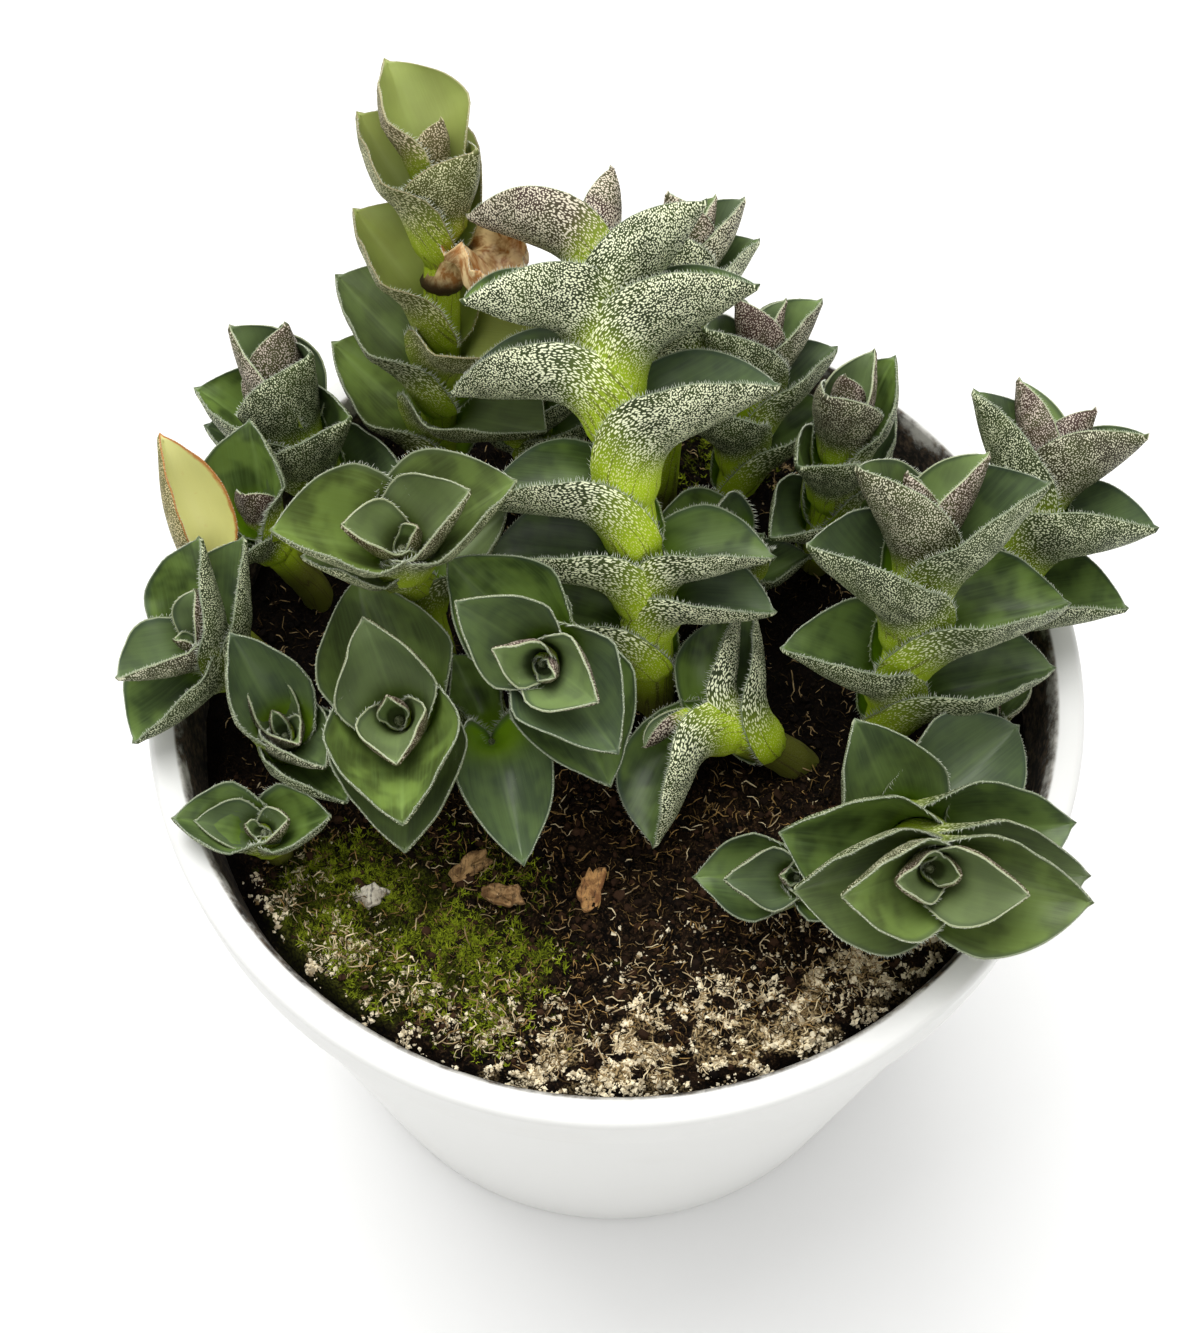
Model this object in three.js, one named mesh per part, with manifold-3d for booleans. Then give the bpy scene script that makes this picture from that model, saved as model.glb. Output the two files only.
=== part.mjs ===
// A chain plant (Callisia navicularis) growing in a white nursery pot.
// Millimetres, +Z up. The origin is the centre of the pot's underside, which stands on the floor,
// and the plant is seen from the -Y side.
import * as THREE from "three";
import Module from "manifold-3d";

const wasm = await Module();
wasm.setup();

// The pot: a round tapered plastic pot with a rolled lip, a low foot and drainage holes.
const RIM_RADIUS = 60;
const MOUTH_RADIUS = 56;
const RIM_HEIGHT = 96;
const FOOT_RADIUS = 42.5;
const WALL = 1.5;
const LIP_DROP = 9;
const POT_SIDES = 40;
const DRAIN_HOLES = 6;
const DRAIN_RADIUS = 3.5;
const DRAIN_CIRCLE = 26;

// The soil: a disc that fills the pot and stands 10 mm below the lip.
const SOIL_LEVEL = 86;
const SOIL_GAP = 0.35;
const SOIL_RINGS = 5;
const SOIL_SIDES = 26;

// Chips of bark that lie on the soil: where, which way they point, length, width and thickness.
const CHIPS = [
  { name: "bark_chip_left", at: [-18.6, -22.6], turn: 35, size: [5.6, 3.2, 1.7], sides: 6 },
  { name: "bark_chip_centre", at: [-14.4, -26.4], turn: -20, size: [5.2, 3.0, 1.7], sides: 5 },
  { name: "bark_chip_right", at: [-3.2, -25.2], turn: 70, size: [6.0, 3.4, 1.7], sides: 6 },
  { name: "bark_chip_pale", at: [-31.5, -26.2], turn: 10, size: [4.6, 3.2, 1.6], sides: 5 },
];
const CHIP_GAP = 0.35;
const CHIP_SINK = 0.5;

// Stems and leaves.
const STEM_SIDES = 6;
const STEM_STEP = 7.5;
const STUB = 8;
const HOLE_GAP = 0.45;
const LEAF_THICK = 1.2;
const EDGE_THICK = 0.64;
const CLEAR = 1.95;
const SOIL_CLEAR = 1.0;
const MIDRIB_STEPS = 24;
const OWN_SIDE = 0.45;
const ROOT = 0.1;

// How every stem stands: where it leaves the soil, where its tip is and which way the tip points,
// the side its first leaf faces, and the size, spread and spacing of its leaves from the tip down.
const STEMS = [
  {
    name: "rosette_front_right", base: [34, -16], tip: [37.2, -31.7, 107],
    axis: [0.02, -0.48, 0.88], face: [1, -0.05, -0.03], leaves: 11, size: 23, broad: 0.96,
    open: [16, 74], gaps: [1.2, 2.6], radius: 2.6, adult: 4, bud: 0.3, spread: 6, cup: 64,
    own: { 7: { turn: -12 }, 8: { turn: 12 }, 9: { turn: -58, grow: 0.9 }, 10: { turn: 40, grow: 0.95 } }
  },
  {
    name: "creeping_stem_centre", base: [24.5, -7], tip: [8.6, -6.7, 98], axis: [-0.86, 0, 0.51],
    face: [0, -0.88, -0.48], rise: [-0.6, 0, 1], leaves: 5, size: 20, broad: 0.95, open: [50, 84],
    gaps: [2.5, 6], radius: 2.6, adult: 1, bud: 0.35, spread: 2,
    own: {
      1: { slide: 3.5, open: 80, grow: 0.92 }, 3: { slide: 1.5, grow: 0.88 },
      4: { grow: 0.85, open: 66, turn: 24 },
    },
  },
  {
    name: "leafy_stem_tall_centre", base: [4.8, 1.9], tip: [-1.7, 33, 135],
    axis: [-0.05, 0.88, 0.48], face: [0.99, -0.07, 0.13], leaves: 12, size: 25, broad: 0.94,
    open: [30, 84], gaps: [2.2, 5.6], radius: 3, adult: 2, bud: 0.6, spread: 6, k0: 0.5, k1: 0.3,
    own: {
      0: { open: 4 }, 1: { open: 68, grow: 1 }, 2: { open: 46, slide: 3, grow: 0.88 },
      3: { slide: 0, open: 72, grow: 0.88, turn: 34 }, 4: { slide: -1.5, open: 72, grow: 0.95 },
      5: { slide: -3, open: 85, grow: 0.92 }, 6: { slide: -1, open: 72 },
      7: { open: 85, grow: 0.86 }, 8: { slide: 2, grow: 0.74 }, 9: { grow: 0.9, slide: -2 },
      10: { grow: 0.74, slide: -2 }, 11: { grow: 0.85, open: 84, slide: -3 },
    },
  },
  {
    name: "leafy_stem_right", base: [34.3, -5.4], tip: [37, 4.4, 119], axis: [0.05, 0.59, 0.8],
    face: [-0.94, -0.07, 0.33], leaves: 8, size: 24, broad: 1.02, open: [14, 70], gaps: [2, 5],
    radius: 2.8, adult: 3, bud: 0.5, spread: 7,
    own: { 5: { open: 74 }, 6: { grow: 0.86 }, 7: { open: 78 } }
  },
  {
    name: "rosette_left_front", base: [-24.7, -10.7], tip: [-26.6, -12.4, 108],
    axis: [-0.1, -0.39, 0.92], face: [-0.2, 0.86, 0.47], leaves: 7, size: 22, broad: 1.08,
    open: [12, 72], gaps: [1.4, 3.2], radius: 2.6, adult: 3, bud: 0.3, spread: 6, cup: 66,
    twist: 2,
    own: { 1: { open: 38 }, 3: { open: 64, turn: -8 }, 5: { open: 80, grow: 1.02, turn: -18 } }
  },
  {
    name: "rosette_centre", base: [-8, 0], tip: [-9, -9.5, 117], axis: [-0.12, -0.6, 0.79],
    face: [0.93, -0.33, -0.18], leaves: 9, size: 20.5, broad: 1, open: [16, 76], gaps: [1.4, 4],
    radius: 2.6, adult: 4, bud: 0.3, spread: 6, cup: 64, twist: -4,
    own: { 4: { turn: -16 }, 6: { turn: -22, grow: 1.1 }, 8: { turn: -10, grow: 0.9 } }
  },
  {
    name: "rosette_left_back", base: [-22.9, 4.2], tip: [-25.9, 4.2, 121],
    axis: [-0.05, -0.14, 0.99], face: [0.98, 0.16, 0.08], leaves: 7, size: 21, broad: 1.02,
    open: [16, 74], gaps: [1.4, 3.4], radius: 2.6, adult: 3, bud: 0.3, spread: 6, cup: 64,
    twist: 1
  },
  {
    name: "leafy_stem_tall_left", base: [-24.2, 36.3], tip: [-22.4, 47.3, 138],
    axis: [-0.08, 0.51, 0.85], face: [0.81, -0.51, 0.3], leaves: 10, size: 22.5, broad: 1.15,
    open: [10, 64], gaps: [1.8, 6.2], radius: 2.4, adult: 2, bud: 0.42, spread: 5, cup: 64,
    own: {
      0: { grow: 0.9 }, 1: { grow: 1, open: 34, turn: -14 },
      2: { grow: 0.66, open: 24, turn: 0, slide: 2 }, 3: { grow: 0.9, open: 46, slide: -1 },
      4: { grow: 0.58, open: 72, slide: -3.5 }, 5: { grow: 0.9, open: 56 },
      6: { grow: 0.9, open: 66 },
    },
  },
  {
    name: "leafy_stem_back_left", base: [-36, 29], tip: [-41.8, 32.9, 104],
    axis: [-0.05, 0.42, 0.91], face: [0.83, -0.26, 0.49], leaves: 7, size: 19, broad: 1.15,
    open: [4, 64], gaps: [1.4, 3.4], radius: 2.3, adult: 2, bud: 0.9, spread: 6
  },
  {
    name: "old_leaf_left_edge", base: [-46.5, 8], tip: [-52, 10, 101], axis: [0.05, 0.45, 0.89],
    face: [-0.74, 0.64, -0.21], leaves: 1, size: 23, broad: 0.8, open: [16, 40], gaps: [2, 3],
    radius: 1.6, adult: 1, bud: 1, spread: 0
  },
  {
    name: "leafy_stem_over_left_rim", base: [-42, 2], tip: [-51.7, 0.3, 104],
    axis: [-0.29, -0.03, 0.96], face: [-0.83, -0.55, -0.07], leaves: 6, size: 19, broad: 1,
    open: [12, 66], gaps: [1.6, 3], radius: 2.4, adult: 3, bud: 0.3, spread: 5, cup: 70, twist: 6
  },
  {
    name: "leafy_stem_over_right_rim", base: [47.8, 7.9], tip: [54.2, 20.4, 108],
    axis: [0.25, 0.8, 0.55], face: [0.91, -0.35, 0.22], leaves: 10, size: 22, broad: 1,
    open: [18, 64], gaps: [2, 4.6], radius: 2.6, adult: 3, bud: 0.6, spread: 6
  },
  {
    name: "leafy_stem_back_right", base: [27.2, 23.4], tip: [29.1, 27.8, 110],
    axis: [0.08, 0.42, 0.91], face: [-0.57, -0.62, 0.54], leaves: 8, size: 18, broad: 1,
    open: [8, 58], gaps: [1.6, 4], radius: 2.3, adult: 3, bud: 0.6, spread: 7
  },
  {
    name: "leafy_stem_back_right_inner", base: [15.1, 29.8], tip: [18.6, 39, 108],
    axis: [0.11, 0.59, 0.8], face: [0.86, 0.4, -0.33], leaves: 7, size: 18, broad: 1,
    open: [14, 62], gaps: [1.6, 3.8], radius: 2.2, adult: 3, bud: 0.6, spread: 6
  },
  {
    name: "leafy_stem_back_centre", base: [6.2, 33], tip: [9.6, 47.8, 120],
    axis: [0.11, 0.63, 0.77], face: [0.86, 0.4, -0.33], leaves: 7, size: 16, broad: 1.05,
    open: [14, 58], gaps: [1.6, 4.2], radius: 2.2, adult: 3, bud: 0.6, spread: 6
  },
  {
    name: "leafy_stem_left_edge", base: [-40, 18], tip: [-45.8, 19, 103],
    axis: [-0.05, 0.15, 0.99], face: [-0.15, -0.95, -0.29], leaves: 4, size: 15, broad: 1.1,
    open: [10, 60], gaps: [1.4, 3], radius: 2.2, adult: 1, bud: 0.6, spread: 3, cup: 60,
    own: { 1: { open: 30 } }
  },
  {
    name: "rosette_left_soil", base: [-43.1, -19.9], tip: [-44.1, -20.9, 94],
    axis: [0, -0.12, 0.99], face: [-1, 0, 0], leaves: 5, size: 13.5, broad: 1, open: [16, 68],
    gaps: [1.2, 1.8], radius: 1.8, adult: 3, bud: 0.3, spread: 4, cup: 66
  },
  {
    name: "rosette_left_low", base: [-41.7, -9.4], tip: [-41.7, -9.4, 98], axis: [0, -0.2, 0.98],
    face: [-0.53, 0.75, 0.4], leaves: 6, size: 18, broad: 1, open: [16, 70], gaps: [1.4, 2.4],
    radius: 2, adult: 4, bud: 0.3, spread: 5
  },
  {
    name: "rosette_front_small", base: [24, -24], tip: [22.2, -28, 96], axis: [-0.1, -0.29, 0.95],
    face: [-1, 0, 0], leaves: 5, size: 15, broad: 1, open: [16, 74], gaps: [1.2, 2], radius: 1.8,
    adult: 3, bud: 0.3, spread: 4, cup: 64
  },
  {
    name: "low_leaves_centre", base: [-15, -12], tip: [-15.7, -9.6, 96.5],
    axis: [0.1, -0.39, 0.92], face: [0.51, -0.76, -0.41], leaves: 3, size: 25, broad: 0.92,
    open: [74, 80], gaps: [2, 2], radius: 2.2, adult: 1, bud: 1, spread: 2, cup: 60,
    own: { 1: { grow: 0.5 }, 2: { turn: -50, grow: 0.6 } }
  },
  {
    name: "low_leaves_right", base: [15, 14], tip: [16.4, 15.7, 100], axis: [0.1, -0.19, 0.98],
    face: [0.89, 0.39, 0.21], leaves: 6, size: 20, broad: 0.95, open: [20, 70], gaps: [1.8, 3],
    radius: 2.2, adult: 2, bud: 0.6, spread: 5, cup: 70
  },
  {
    name: "bud_right_rim", base: [46.2, -4.9], tip: [47.2, -4.9, 94], axis: [0, -0.3, 0.96],
    face: [0.6, 0.7, 0.38], leaves: 4, size: 14, broad: 1.1, open: [14, 60], gaps: [1.4, 2.4],
    radius: 1.8, adult: 3, bud: 0.3, spread: 3
  },
  {
    name: "leafy_stem_back_left_inner", base: [-9.7, 37.9], tip: [-12.7, 38.6, 101],
    axis: [-0.11, 0.21, 0.97], face: [-1, 0, 0], leaves: 6, size: 19, broad: 1, open: [16, 70],
    gaps: [1.8, 3.2], radius: 2.2, adult: 2, bud: 0.3, spread: 5
  },
];

const DEG = Math.PI / 180;
const clamp = (x, a, b) => Math.min(b, Math.max(a, x));
const mix = (a, b, t) => a + (b - a) * t;
const smooth = (x) => {
  const c = clamp(x, 0, 1);
  return c * c * (3 - 2 * c);
};
const add = (a, b, k = 1) => [a[0] + b[0] * k, a[1] + b[1] * k, a[2] + b[2] * k];
const dot = (a, b) => a[0] * b[0] + a[1] * b[1] + a[2] * b[2];
const cross = (a, b) => [
  a[1] * b[2] - a[2] * b[1],
  a[2] * b[0] - a[0] * b[2],
  a[0] * b[1] - a[1] * b[0],
];
const unit = (a) => {
  const n = Math.hypot(a[0], a[1], a[2]);
  return [a[0] / n, a[1] / n, a[2] / n];
};

// Height of the soil: gently uneven, a little higher against the wall at the front.
function soilHeight(x, y) {
  const r = Math.hypot(x, y);
  const waves = 0.5 * Math.sin(x * 0.16 + 1.0) * Math.cos(y * 0.13 - 0.6)
    + 0.35 * Math.sin(x * 0.31 - y * 0.27 + 0.8);
  return SOIL_LEVEL + waves * (1 - smooth((r - 40) / 16)) + 1.2 * smooth((-y - 20) / 30);
}

// The centre line of a stem, a cubic curve, and its direction.
function stemCurve(stem) {
  const base = [stem.base[0], stem.base[1], SOIL_LEVEL - 2];
  const rise = unit(stem.rise ?? [0, 0, 1]);
  const axis = unit(stem.axis);
  const span = Math.hypot(stem.tip[0] - base[0], stem.tip[1] - base[1], stem.tip[2] - base[2]);
  const c = [
    base,
    add(base, rise, span * (stem.k0 ?? 0.35)),
    add(stem.tip, axis, -span * (stem.k1 ?? 0.35)),
    stem.tip,
  ];
  const at = (t) => {
    const u = 1 - t;
    const p = [0, 1, 2].map((k) =>
      u * u * u * c[0][k] + 3 * u * u * t * c[1][k] + 3 * u * t * t * c[2][k] + t * t * t * c[3][k]);
    const d = [0, 1, 2].map((k) =>
      3 * u * u * (c[1][k] - c[0][k]) + 6 * u * t * (c[2][k] - c[1][k]) + 3 * t * t * (c[3][k] - c[2][k]));
    return { p, a: unit(d) };
  };
  const length = [0];
  let last = c[0];
  for (let i = 1; i <= 60; i++) {
    const p = at(i / 60).p;
    length.push(length[i - 1] + Math.hypot(p[0] - last[0], p[1] - last[1], p[2] - last[2]));
    last = p;
  }
  const total = length[60];
  const atLength = (d) => {
    let i = 1;
    while (i < 60 && length[i] < d) i++;
    const f = clamp((d - length[i - 1]) / (length[i] - length[i - 1]), 0, 1);
    return at((i - 1 + f) / 60);
  };
  return { base, rise, at, atLength, total };
}

// The leaves of a stem, from the tip down. They stand in two rows, each clasping the stem.
function stemLeaves(stem) {
  const curve = stemCurve(stem);
  const leaves = [];
  let down = 1;
  for (let i = 0; i < stem.leaves; i++) {
    const own = stem.own?.[i] ?? {};
    const d = curve.total - (down + (own.slide ?? 0));
    if (d < 0.5) break;
    const { p, a } = curve.atLength(d);
    const e = unit(add(stem.face, a, -dot(stem.face, a)));
    const g = cross(a, e);
    const turn = (180 * i + (stem.twist ?? 0) * i + (own.turn ?? 0)) * DEG;
    const out = [0, 1, 2].map((k) => e[k] * Math.cos(turn) + g[k] * Math.sin(turn));
    const age = Math.min(1, i / Math.max(stem.adult, 1));
    const length = stem.size * (stem.bud + (1 - stem.bud) * age ** 0.8) * (own.grow ?? 1);
    const spread = Math.min(1, i / Math.max(stem.spread, 1)) ** 0.8;
    const step = mix(stem.gaps[0], stem.gaps[1], age);
    leaves.push({
      at: p, axis: a, out, side: cross(a, out),
      length, width: length * (stem.broad - 0.12 * (1 - age)),
      open: own.open ?? mix(stem.open[0], stem.open[1], spread),
      sheathRadius: 0.4 + stem.radius * (0.42 + 0.58 * age),
      sheath: Math.min(0.3 * length, step + 2),
      cup: (stem.cup ?? 84) + (1 - age) * 14,
      curl: -8, crease: 20, age, index: i, curve, d,
    });
    down += step;
  }
  return leaves;
}

// A point of a leaf's middle surface and the direction out of its inner face there.
// s runs from the base to the tip and t across, from one margin at -1 to the other at 1.
function leafFrame(leaf) {
  const hold = Math.min(0.34, leaf.sheath / leaf.length);
  const start = 0.35 * hold;
  const open = leaf.open * DEG;
  const phi = [];
  for (let i = 0; i <= MIDRIB_STEPS; i++) {
    const s = i / MIDRIB_STEPS;
    phi.push(open * smooth((s - start) / (0.5 - start + 0.1 * hold))
      + leaf.curl * DEG * clamp((s - 0.5) / 0.5, 0, 1) ** 1.5);
  }
  const out = [leaf.sheathRadius];
  const up = [0];
  for (let i = 1; i <= MIDRIB_STEPS; i++) {
    const m = (phi[i] + phi[i - 1]) / 2;
    out.push(out[i - 1] + Math.sin(m) * leaf.length / MIDRIB_STEPS);
    up.push(up[i - 1] + Math.cos(m) * leaf.length / MIDRIB_STEPS);
  }
  return { hold, phi, out, up };
}

// The half width of a leaf's arched section, the angle that it arches through to each side, and
// the fold along the midrib.
function leafSection(leaf, frame, s) {
  const full = leaf.width / 2;
  const baseWrap = 172 * DEG;
  const holdWrap = 128 * DEG;
  let w = full * (1 - clamp((s - 0.42) / 0.58, 0, 1) ** 2.1);
  if (s <= 0.42) w = mix(baseWrap * leaf.sheathRadius, full, smooth(s / 0.42));
  w = Math.max(w, 1e-4);
  let wrap = mix(leaf.cup, leaf.cup * 0.55, (s - 0.55) / 0.45) * DEG;
  if (s <= frame.hold) wrap = mix(baseWrap, holdWrap, (s / frame.hold) ** 1.6);
  else if (s < 0.55) wrap = mix(holdWrap, leaf.cup * DEG, smooth((s - frame.hold) / (0.55 - frame.hold)));
  return { w, wrap, fold: leaf.crease * DEG * smooth((s - 0.2) / 0.8) };
}

function leafPoint(leaf, frame, s, t) {
  const x = s * MIDRIB_STEPS;
  const i = Math.min(MIDRIB_STEPS - 1, Math.floor(x));
  const f = x - i;
  const ph = mix(frame.phi[i], frame.phi[i + 1], f);
  const out = mix(frame.out[i], frame.out[i + 1], f);
  const up = mix(frame.up[i], frame.up[i + 1], f);
  const { w, wrap, fold } = leafSection(leaf, frame, s);
  const b = Math.abs(t) * wrap;
  const k = t >= 0 ? 1 : -1;
  const rho = w / wrap;
  const u = k * rho * (Math.sin(fold + b) - Math.sin(fold));
  const v = rho * (Math.cos(fold) - Math.cos(fold + b));
  const nOut = -Math.cos(ph);
  const nUp = Math.sin(ph);
  const place = (o, sd, a) => [0, 1, 2].map((q) => leaf.out[q] * o + leaf.side[q] * sd + leaf.axis[q] * a);
  const p = add(leaf.at, place(out + nOut * v, u, up + nUp * v));
  const c = t === 0 ? 1 : Math.cos(fold + b);
  const q = t === 0 ? 0 : -k * Math.sin(fold + b);
  return { p, n: place(nOut * c, q, nUp * c) };
}

// How much of a leaf's width stays on its own side of the stem. The rest of its clasping base
// would only cross the leaf opposite.
function ownSide(leaf, frame, s) {
  const x = s * MIDRIB_STEPS;
  const i = Math.min(MIDRIB_STEPS - 1, Math.floor(x));
  const f = x - i;
  const ph = mix(frame.phi[i], frame.phi[i + 1], f);
  const out = mix(frame.out[i], frame.out[i + 1], f);
  const { w, wrap, fold } = leafSection(leaf, frame, s);
  const reach = Math.cos(fold) - (out - OWN_SIDE) / (w / wrap * Math.max(0.05, Math.cos(ph)));
  if (reach < Math.cos(Math.min(Math.PI, fold + wrap))) return 1;
  return clamp((Math.acos(clamp(reach, -1, 1)) - fold) / wrap, 0.2, 1);
}

// The leaf's grid: wide leaves have four strips across, buds two.
function leafGrid(leaf) {
  if (leaf.length < 12) return { rows: [0, 0.42, 1], cols: [-1, 0, 1] };
  if (leaf.length < 18.2) return { rows: [0, 0.34, 0.7, 1], cols: [-1, 0, 1] };
  return { rows: [0, 0.28, 0.62, 1], cols: [-1, -0.5, 0, 0.5, 1] };
}

// Points spread over the flat facets of a leaf, for keeping it clear of its neighbours.
function leafSamples(leaf) {
  const { rows, cols } = leafGrid(leaf);
  const frame = leafFrame(leaf);
  const grid = rows.map((s) => {
    const own = ownSide(leaf, frame, s);
    return cols.map((t) => leafPoint(leaf, frame, s, t * own).p);
  });
  const n = cols.length > 3 ? 4 : 5;
  const list = [];
  for (let i = 0; i <= (rows.length - 1) * n; i++) {
    const iu = Math.min(Math.floor(i / n), rows.length - 2);
    const a = i / n - iu;
    for (let j = 0; j <= (cols.length - 1) * n; j++) {
      const iv = Math.min(Math.floor(j / n), cols.length - 2);
      const b = j / n - iv;
      list.push([0, 1, 2].map((k) =>
        grid[iu][iv][k] * (1 - a) * (1 - b) + grid[iu + 1][iv][k] * a * (1 - b)
        + grid[iu][iv + 1][k] * (1 - a) * b + grid[iu + 1][iv + 1][k] * a * b));
    }
  }
  return list;
}

// Every point that is already taken, kept by the cube of space that it lies in.
const taken = new Map();
const cube = (p) => `${Math.floor(p[0] / 2)},${Math.floor(p[1] / 2)},${Math.floor(p[2] / 2)}`;

function take(points, owner) {
  for (const p of points) {
    const key = cube(p);
    if (!taken.has(key)) taken.set(key, []);
    taken.get(key).push([p, owner]);
  }
}

function isFree(points, owner) {
  for (const p of points) {
    for (let i = -2; i <= 2; i += 2) {
      for (let j = -2; j <= 2; j += 2) {
        for (let k = -2; k <= 2; k += 2) {
          for (const [q, other] of taken.get(cube([p[0] + i, p[1] + j, p[2] + k])) ?? []) {
            if (other !== owner && Math.hypot(p[0] - q[0], p[1] - q[1], p[2] - q[2]) < CLEAR) return false;
          }
        }
      }
    }
  }
  return true;
}

function isAboveGround(points) {
  for (const [x, y, z] of points) {
    const r = Math.hypot(x, y);
    if (r < 55 && z < soilHeight(x, y) + SOIL_CLEAR) return false;
    const wall = MOUTH_RADIUS - (RIM_HEIGHT - z) * 0.12;
    if (z < RIM_HEIGHT + 0.9 && r > wall - 0.9 && r < RIM_RADIUS + 1.5) return false;
  }
  return true;
}

// A leaf in its neighbour's way opens, closes or turns a little, or sits a little higher or lower
// on its stem, and only then grows shorter: degrees of opening, degrees of turning, mm up the stem.
const BENDS = [
  [0, 0, 0], [-8, 0, 0], [8, 0, 0], [0, 0, 1.5], [0, 0, -1.5], [0, 10, 0], [0, -10, 0],
  [-8, 0, 2], [8, 0, -2], [-16, 0, 0], [-8, 10, 0], [-8, -10, 0], [0, 10, 2], [0, -10, 2],
  [0, 0, 3.5], [0, 0, -3.5], [16, 0, 0], [-16, 0, 3.5], [16, 0, -3.5], [-24, 0, 0], [0, 20, 0],
  [0, -20, 0], [-16, 14, 0], [-16, -14, 0], [0, 20, 3], [0, -20, 3], [-24, 0, 5], [-32, 0, 0],
  [0, 0, 6], [-8, 20, 5], [-8, -20, 5], [-24, 20, 0], [-24, -20, 0], [-34, 0, 5],
];

function bent(leaf, [opening, turning, up], scale) {
  const { p, a } = leaf.curve.atLength(clamp(leaf.d + up, 1, leaf.curve.total - 0.5));
  const w = turning * DEG;
  const turnedOut = [0, 1, 2].map((k) => leaf.out[k] * Math.cos(w) + leaf.side[k] * Math.sin(w));
  const out = unit(add(turnedOut, a, -dot(turnedOut, a)));
  return {
    ...leaf, at: p, axis: a, out, side: cross(a, out),
    open: clamp(leaf.open + opening, 3, 86), length: leaf.length * scale, width: leaf.width * scale,
  };
}

function settle(leaf, owner) {
  for (const scale of [1, 0.9, 0.8, 0.7, 0.6]) {
    for (const bend of BENDS) {
      const tried = bent(leaf, bend, scale);
      const points = leafSamples(tried);
      if (isAboveGround(points) && isFree(points, owner)) {
        take(points, owner);
        return tried;
      }
    }
  }
  return null;
}

// Solids are built as plain lists of corners and triangles.
function solid(corners, triangles) {
  return new wasm.Manifold(new wasm.Mesh({
    numProp: 3,
    vertProperties: new Float32Array(corners.flat()),
    triVerts: new Uint32Array(triangles.flat()),
  }));
}

// A closed tube through rings of corners, with a fan at both ends.
function tube(rings) {
  const n = rings[0].length;
  const corners = rings.flat();
  const triangles = [];
  for (let i = 0; i < rings.length - 1; i++) {
    for (let j = 0; j < n; j++) {
      const a = i * n + j;
      const b = i * n + (j + 1) % n;
      triangles.push([a, b, b + n], [a, b + n, a + n]);
    }
  }
  const last = (rings.length - 1) * n;
  for (let j = 1; j < n - 1; j++) {
    triangles.push([0, j + 1, j]);
    triangles.push([last, last + j, last + j + 1]);
  }
  return solid(corners, triangles);
}

function ringAround(p, a, radius, sides, start = [0.3, 0.9, 0.1]) {
  const e = unit(cross(a, start));
  const g = cross(a, e);
  return Array.from({ length: sides }, (_, m) => {
    const w = 2 * Math.PI * m / sides;
    return add(add(p, e, radius * Math.cos(w)), g, radius * Math.sin(w));
  });
}

function stemSolid(stem) {
  const curve = stemCurve(stem);
  const rings = [ringAround(add(curve.base, curve.rise, -STUB), curve.rise, stem.radius, STEM_SIDES)];
  const steps = Math.max(3, Math.round(curve.total / STEM_STEP));
  for (let i = 0; i <= steps; i++) {
    const t = i / steps;
    const { p, a } = curve.at(t);
    rings.push(ringAround(p, a, stem.radius * (t < 0.9 ? 1 : 0.5), STEM_SIDES));
  }
  return tube(rings);
}

// A closed leaf: the inner and outer faces, thick at the midrib and thin at the margin.
function leafSolid(leaf) {
  const { rows, cols } = leafGrid(leaf);
  const frame = leafFrame(leaf);
  const n = cols.length;
  const corners = [];
  const thick = leaf.length < 11 ? 0.8 : LEAF_THICK;
  for (const s of rows.slice(0, -1)) {
    const own = ownSide(leaf, frame, s);
    const face = cols.map((t) => ({
      ...leafPoint(leaf, frame, s, t * own), h: mix(thick, EDGE_THICK, t * t) / 2,
    }));
    if (s === 0) {
      for (const f of face) {
        f.p = add(leaf.at, add(f.p, leaf.at, -1), ROOT);
        f.h = 0.15;
      }
    }
    for (const { p, n: up, h } of face) corners.push(add(p, up, h));
    for (const { p, n: up, h } of face.toReversed()) corners.push(add(p, up, -h));
  }
  const end = leafPoint(leaf, frame, 1, 0);
  const triangles = [];
  const ring = 2 * n;
  const count = rows.length - 1;
  for (let i = 0; i < count - 1; i++) {
    for (let j = 0; j < ring; j++) {
      const a = i * ring + j;
      const b = i * ring + (j + 1) % ring;
      // Each pair of facing strips is split along the same diagonal.
      const flip = j < n - 1 ? j < (n - 1) / 2 : ring - 2 - j < (n - 1) / 2;
      const lower = j >= n;
      if (flip !== lower) triangles.push([a, a + ring, b], [b, a + ring, b + ring]);
      else triangles.push([a, a + ring, b + ring], [a, b + ring, b]);
    }
  }
  const tipTop = corners.length;
  corners.push(add(end.p, end.n, EDGE_THICK / 2), add(end.p, end.n, -EDGE_THICK / 2));
  const lastRing = (count - 1) * ring;
  for (let j = 0; j < n - 1; j++) triangles.push([lastRing + j, tipTop, lastRing + j + 1]);
  triangles.push([lastRing + n - 1, tipTop, tipTop + 1], [lastRing + n - 1, tipTop + 1, lastRing + n]);
  for (let j = n; j < ring - 1; j++) triangles.push([lastRing + j, tipTop + 1, lastRing + j + 1]);
  triangles.push([lastRing + ring - 1, tipTop + 1, tipTop], [lastRing + ring - 1, tipTop, lastRing]);
  for (let j = 0; j < n - 1; j++) {
    triangles.push([j, j + 1, ring - 2 - j], [j, ring - 2 - j, ring - 1 - j]);
  }
  return solid(corners, triangles);
}

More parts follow.
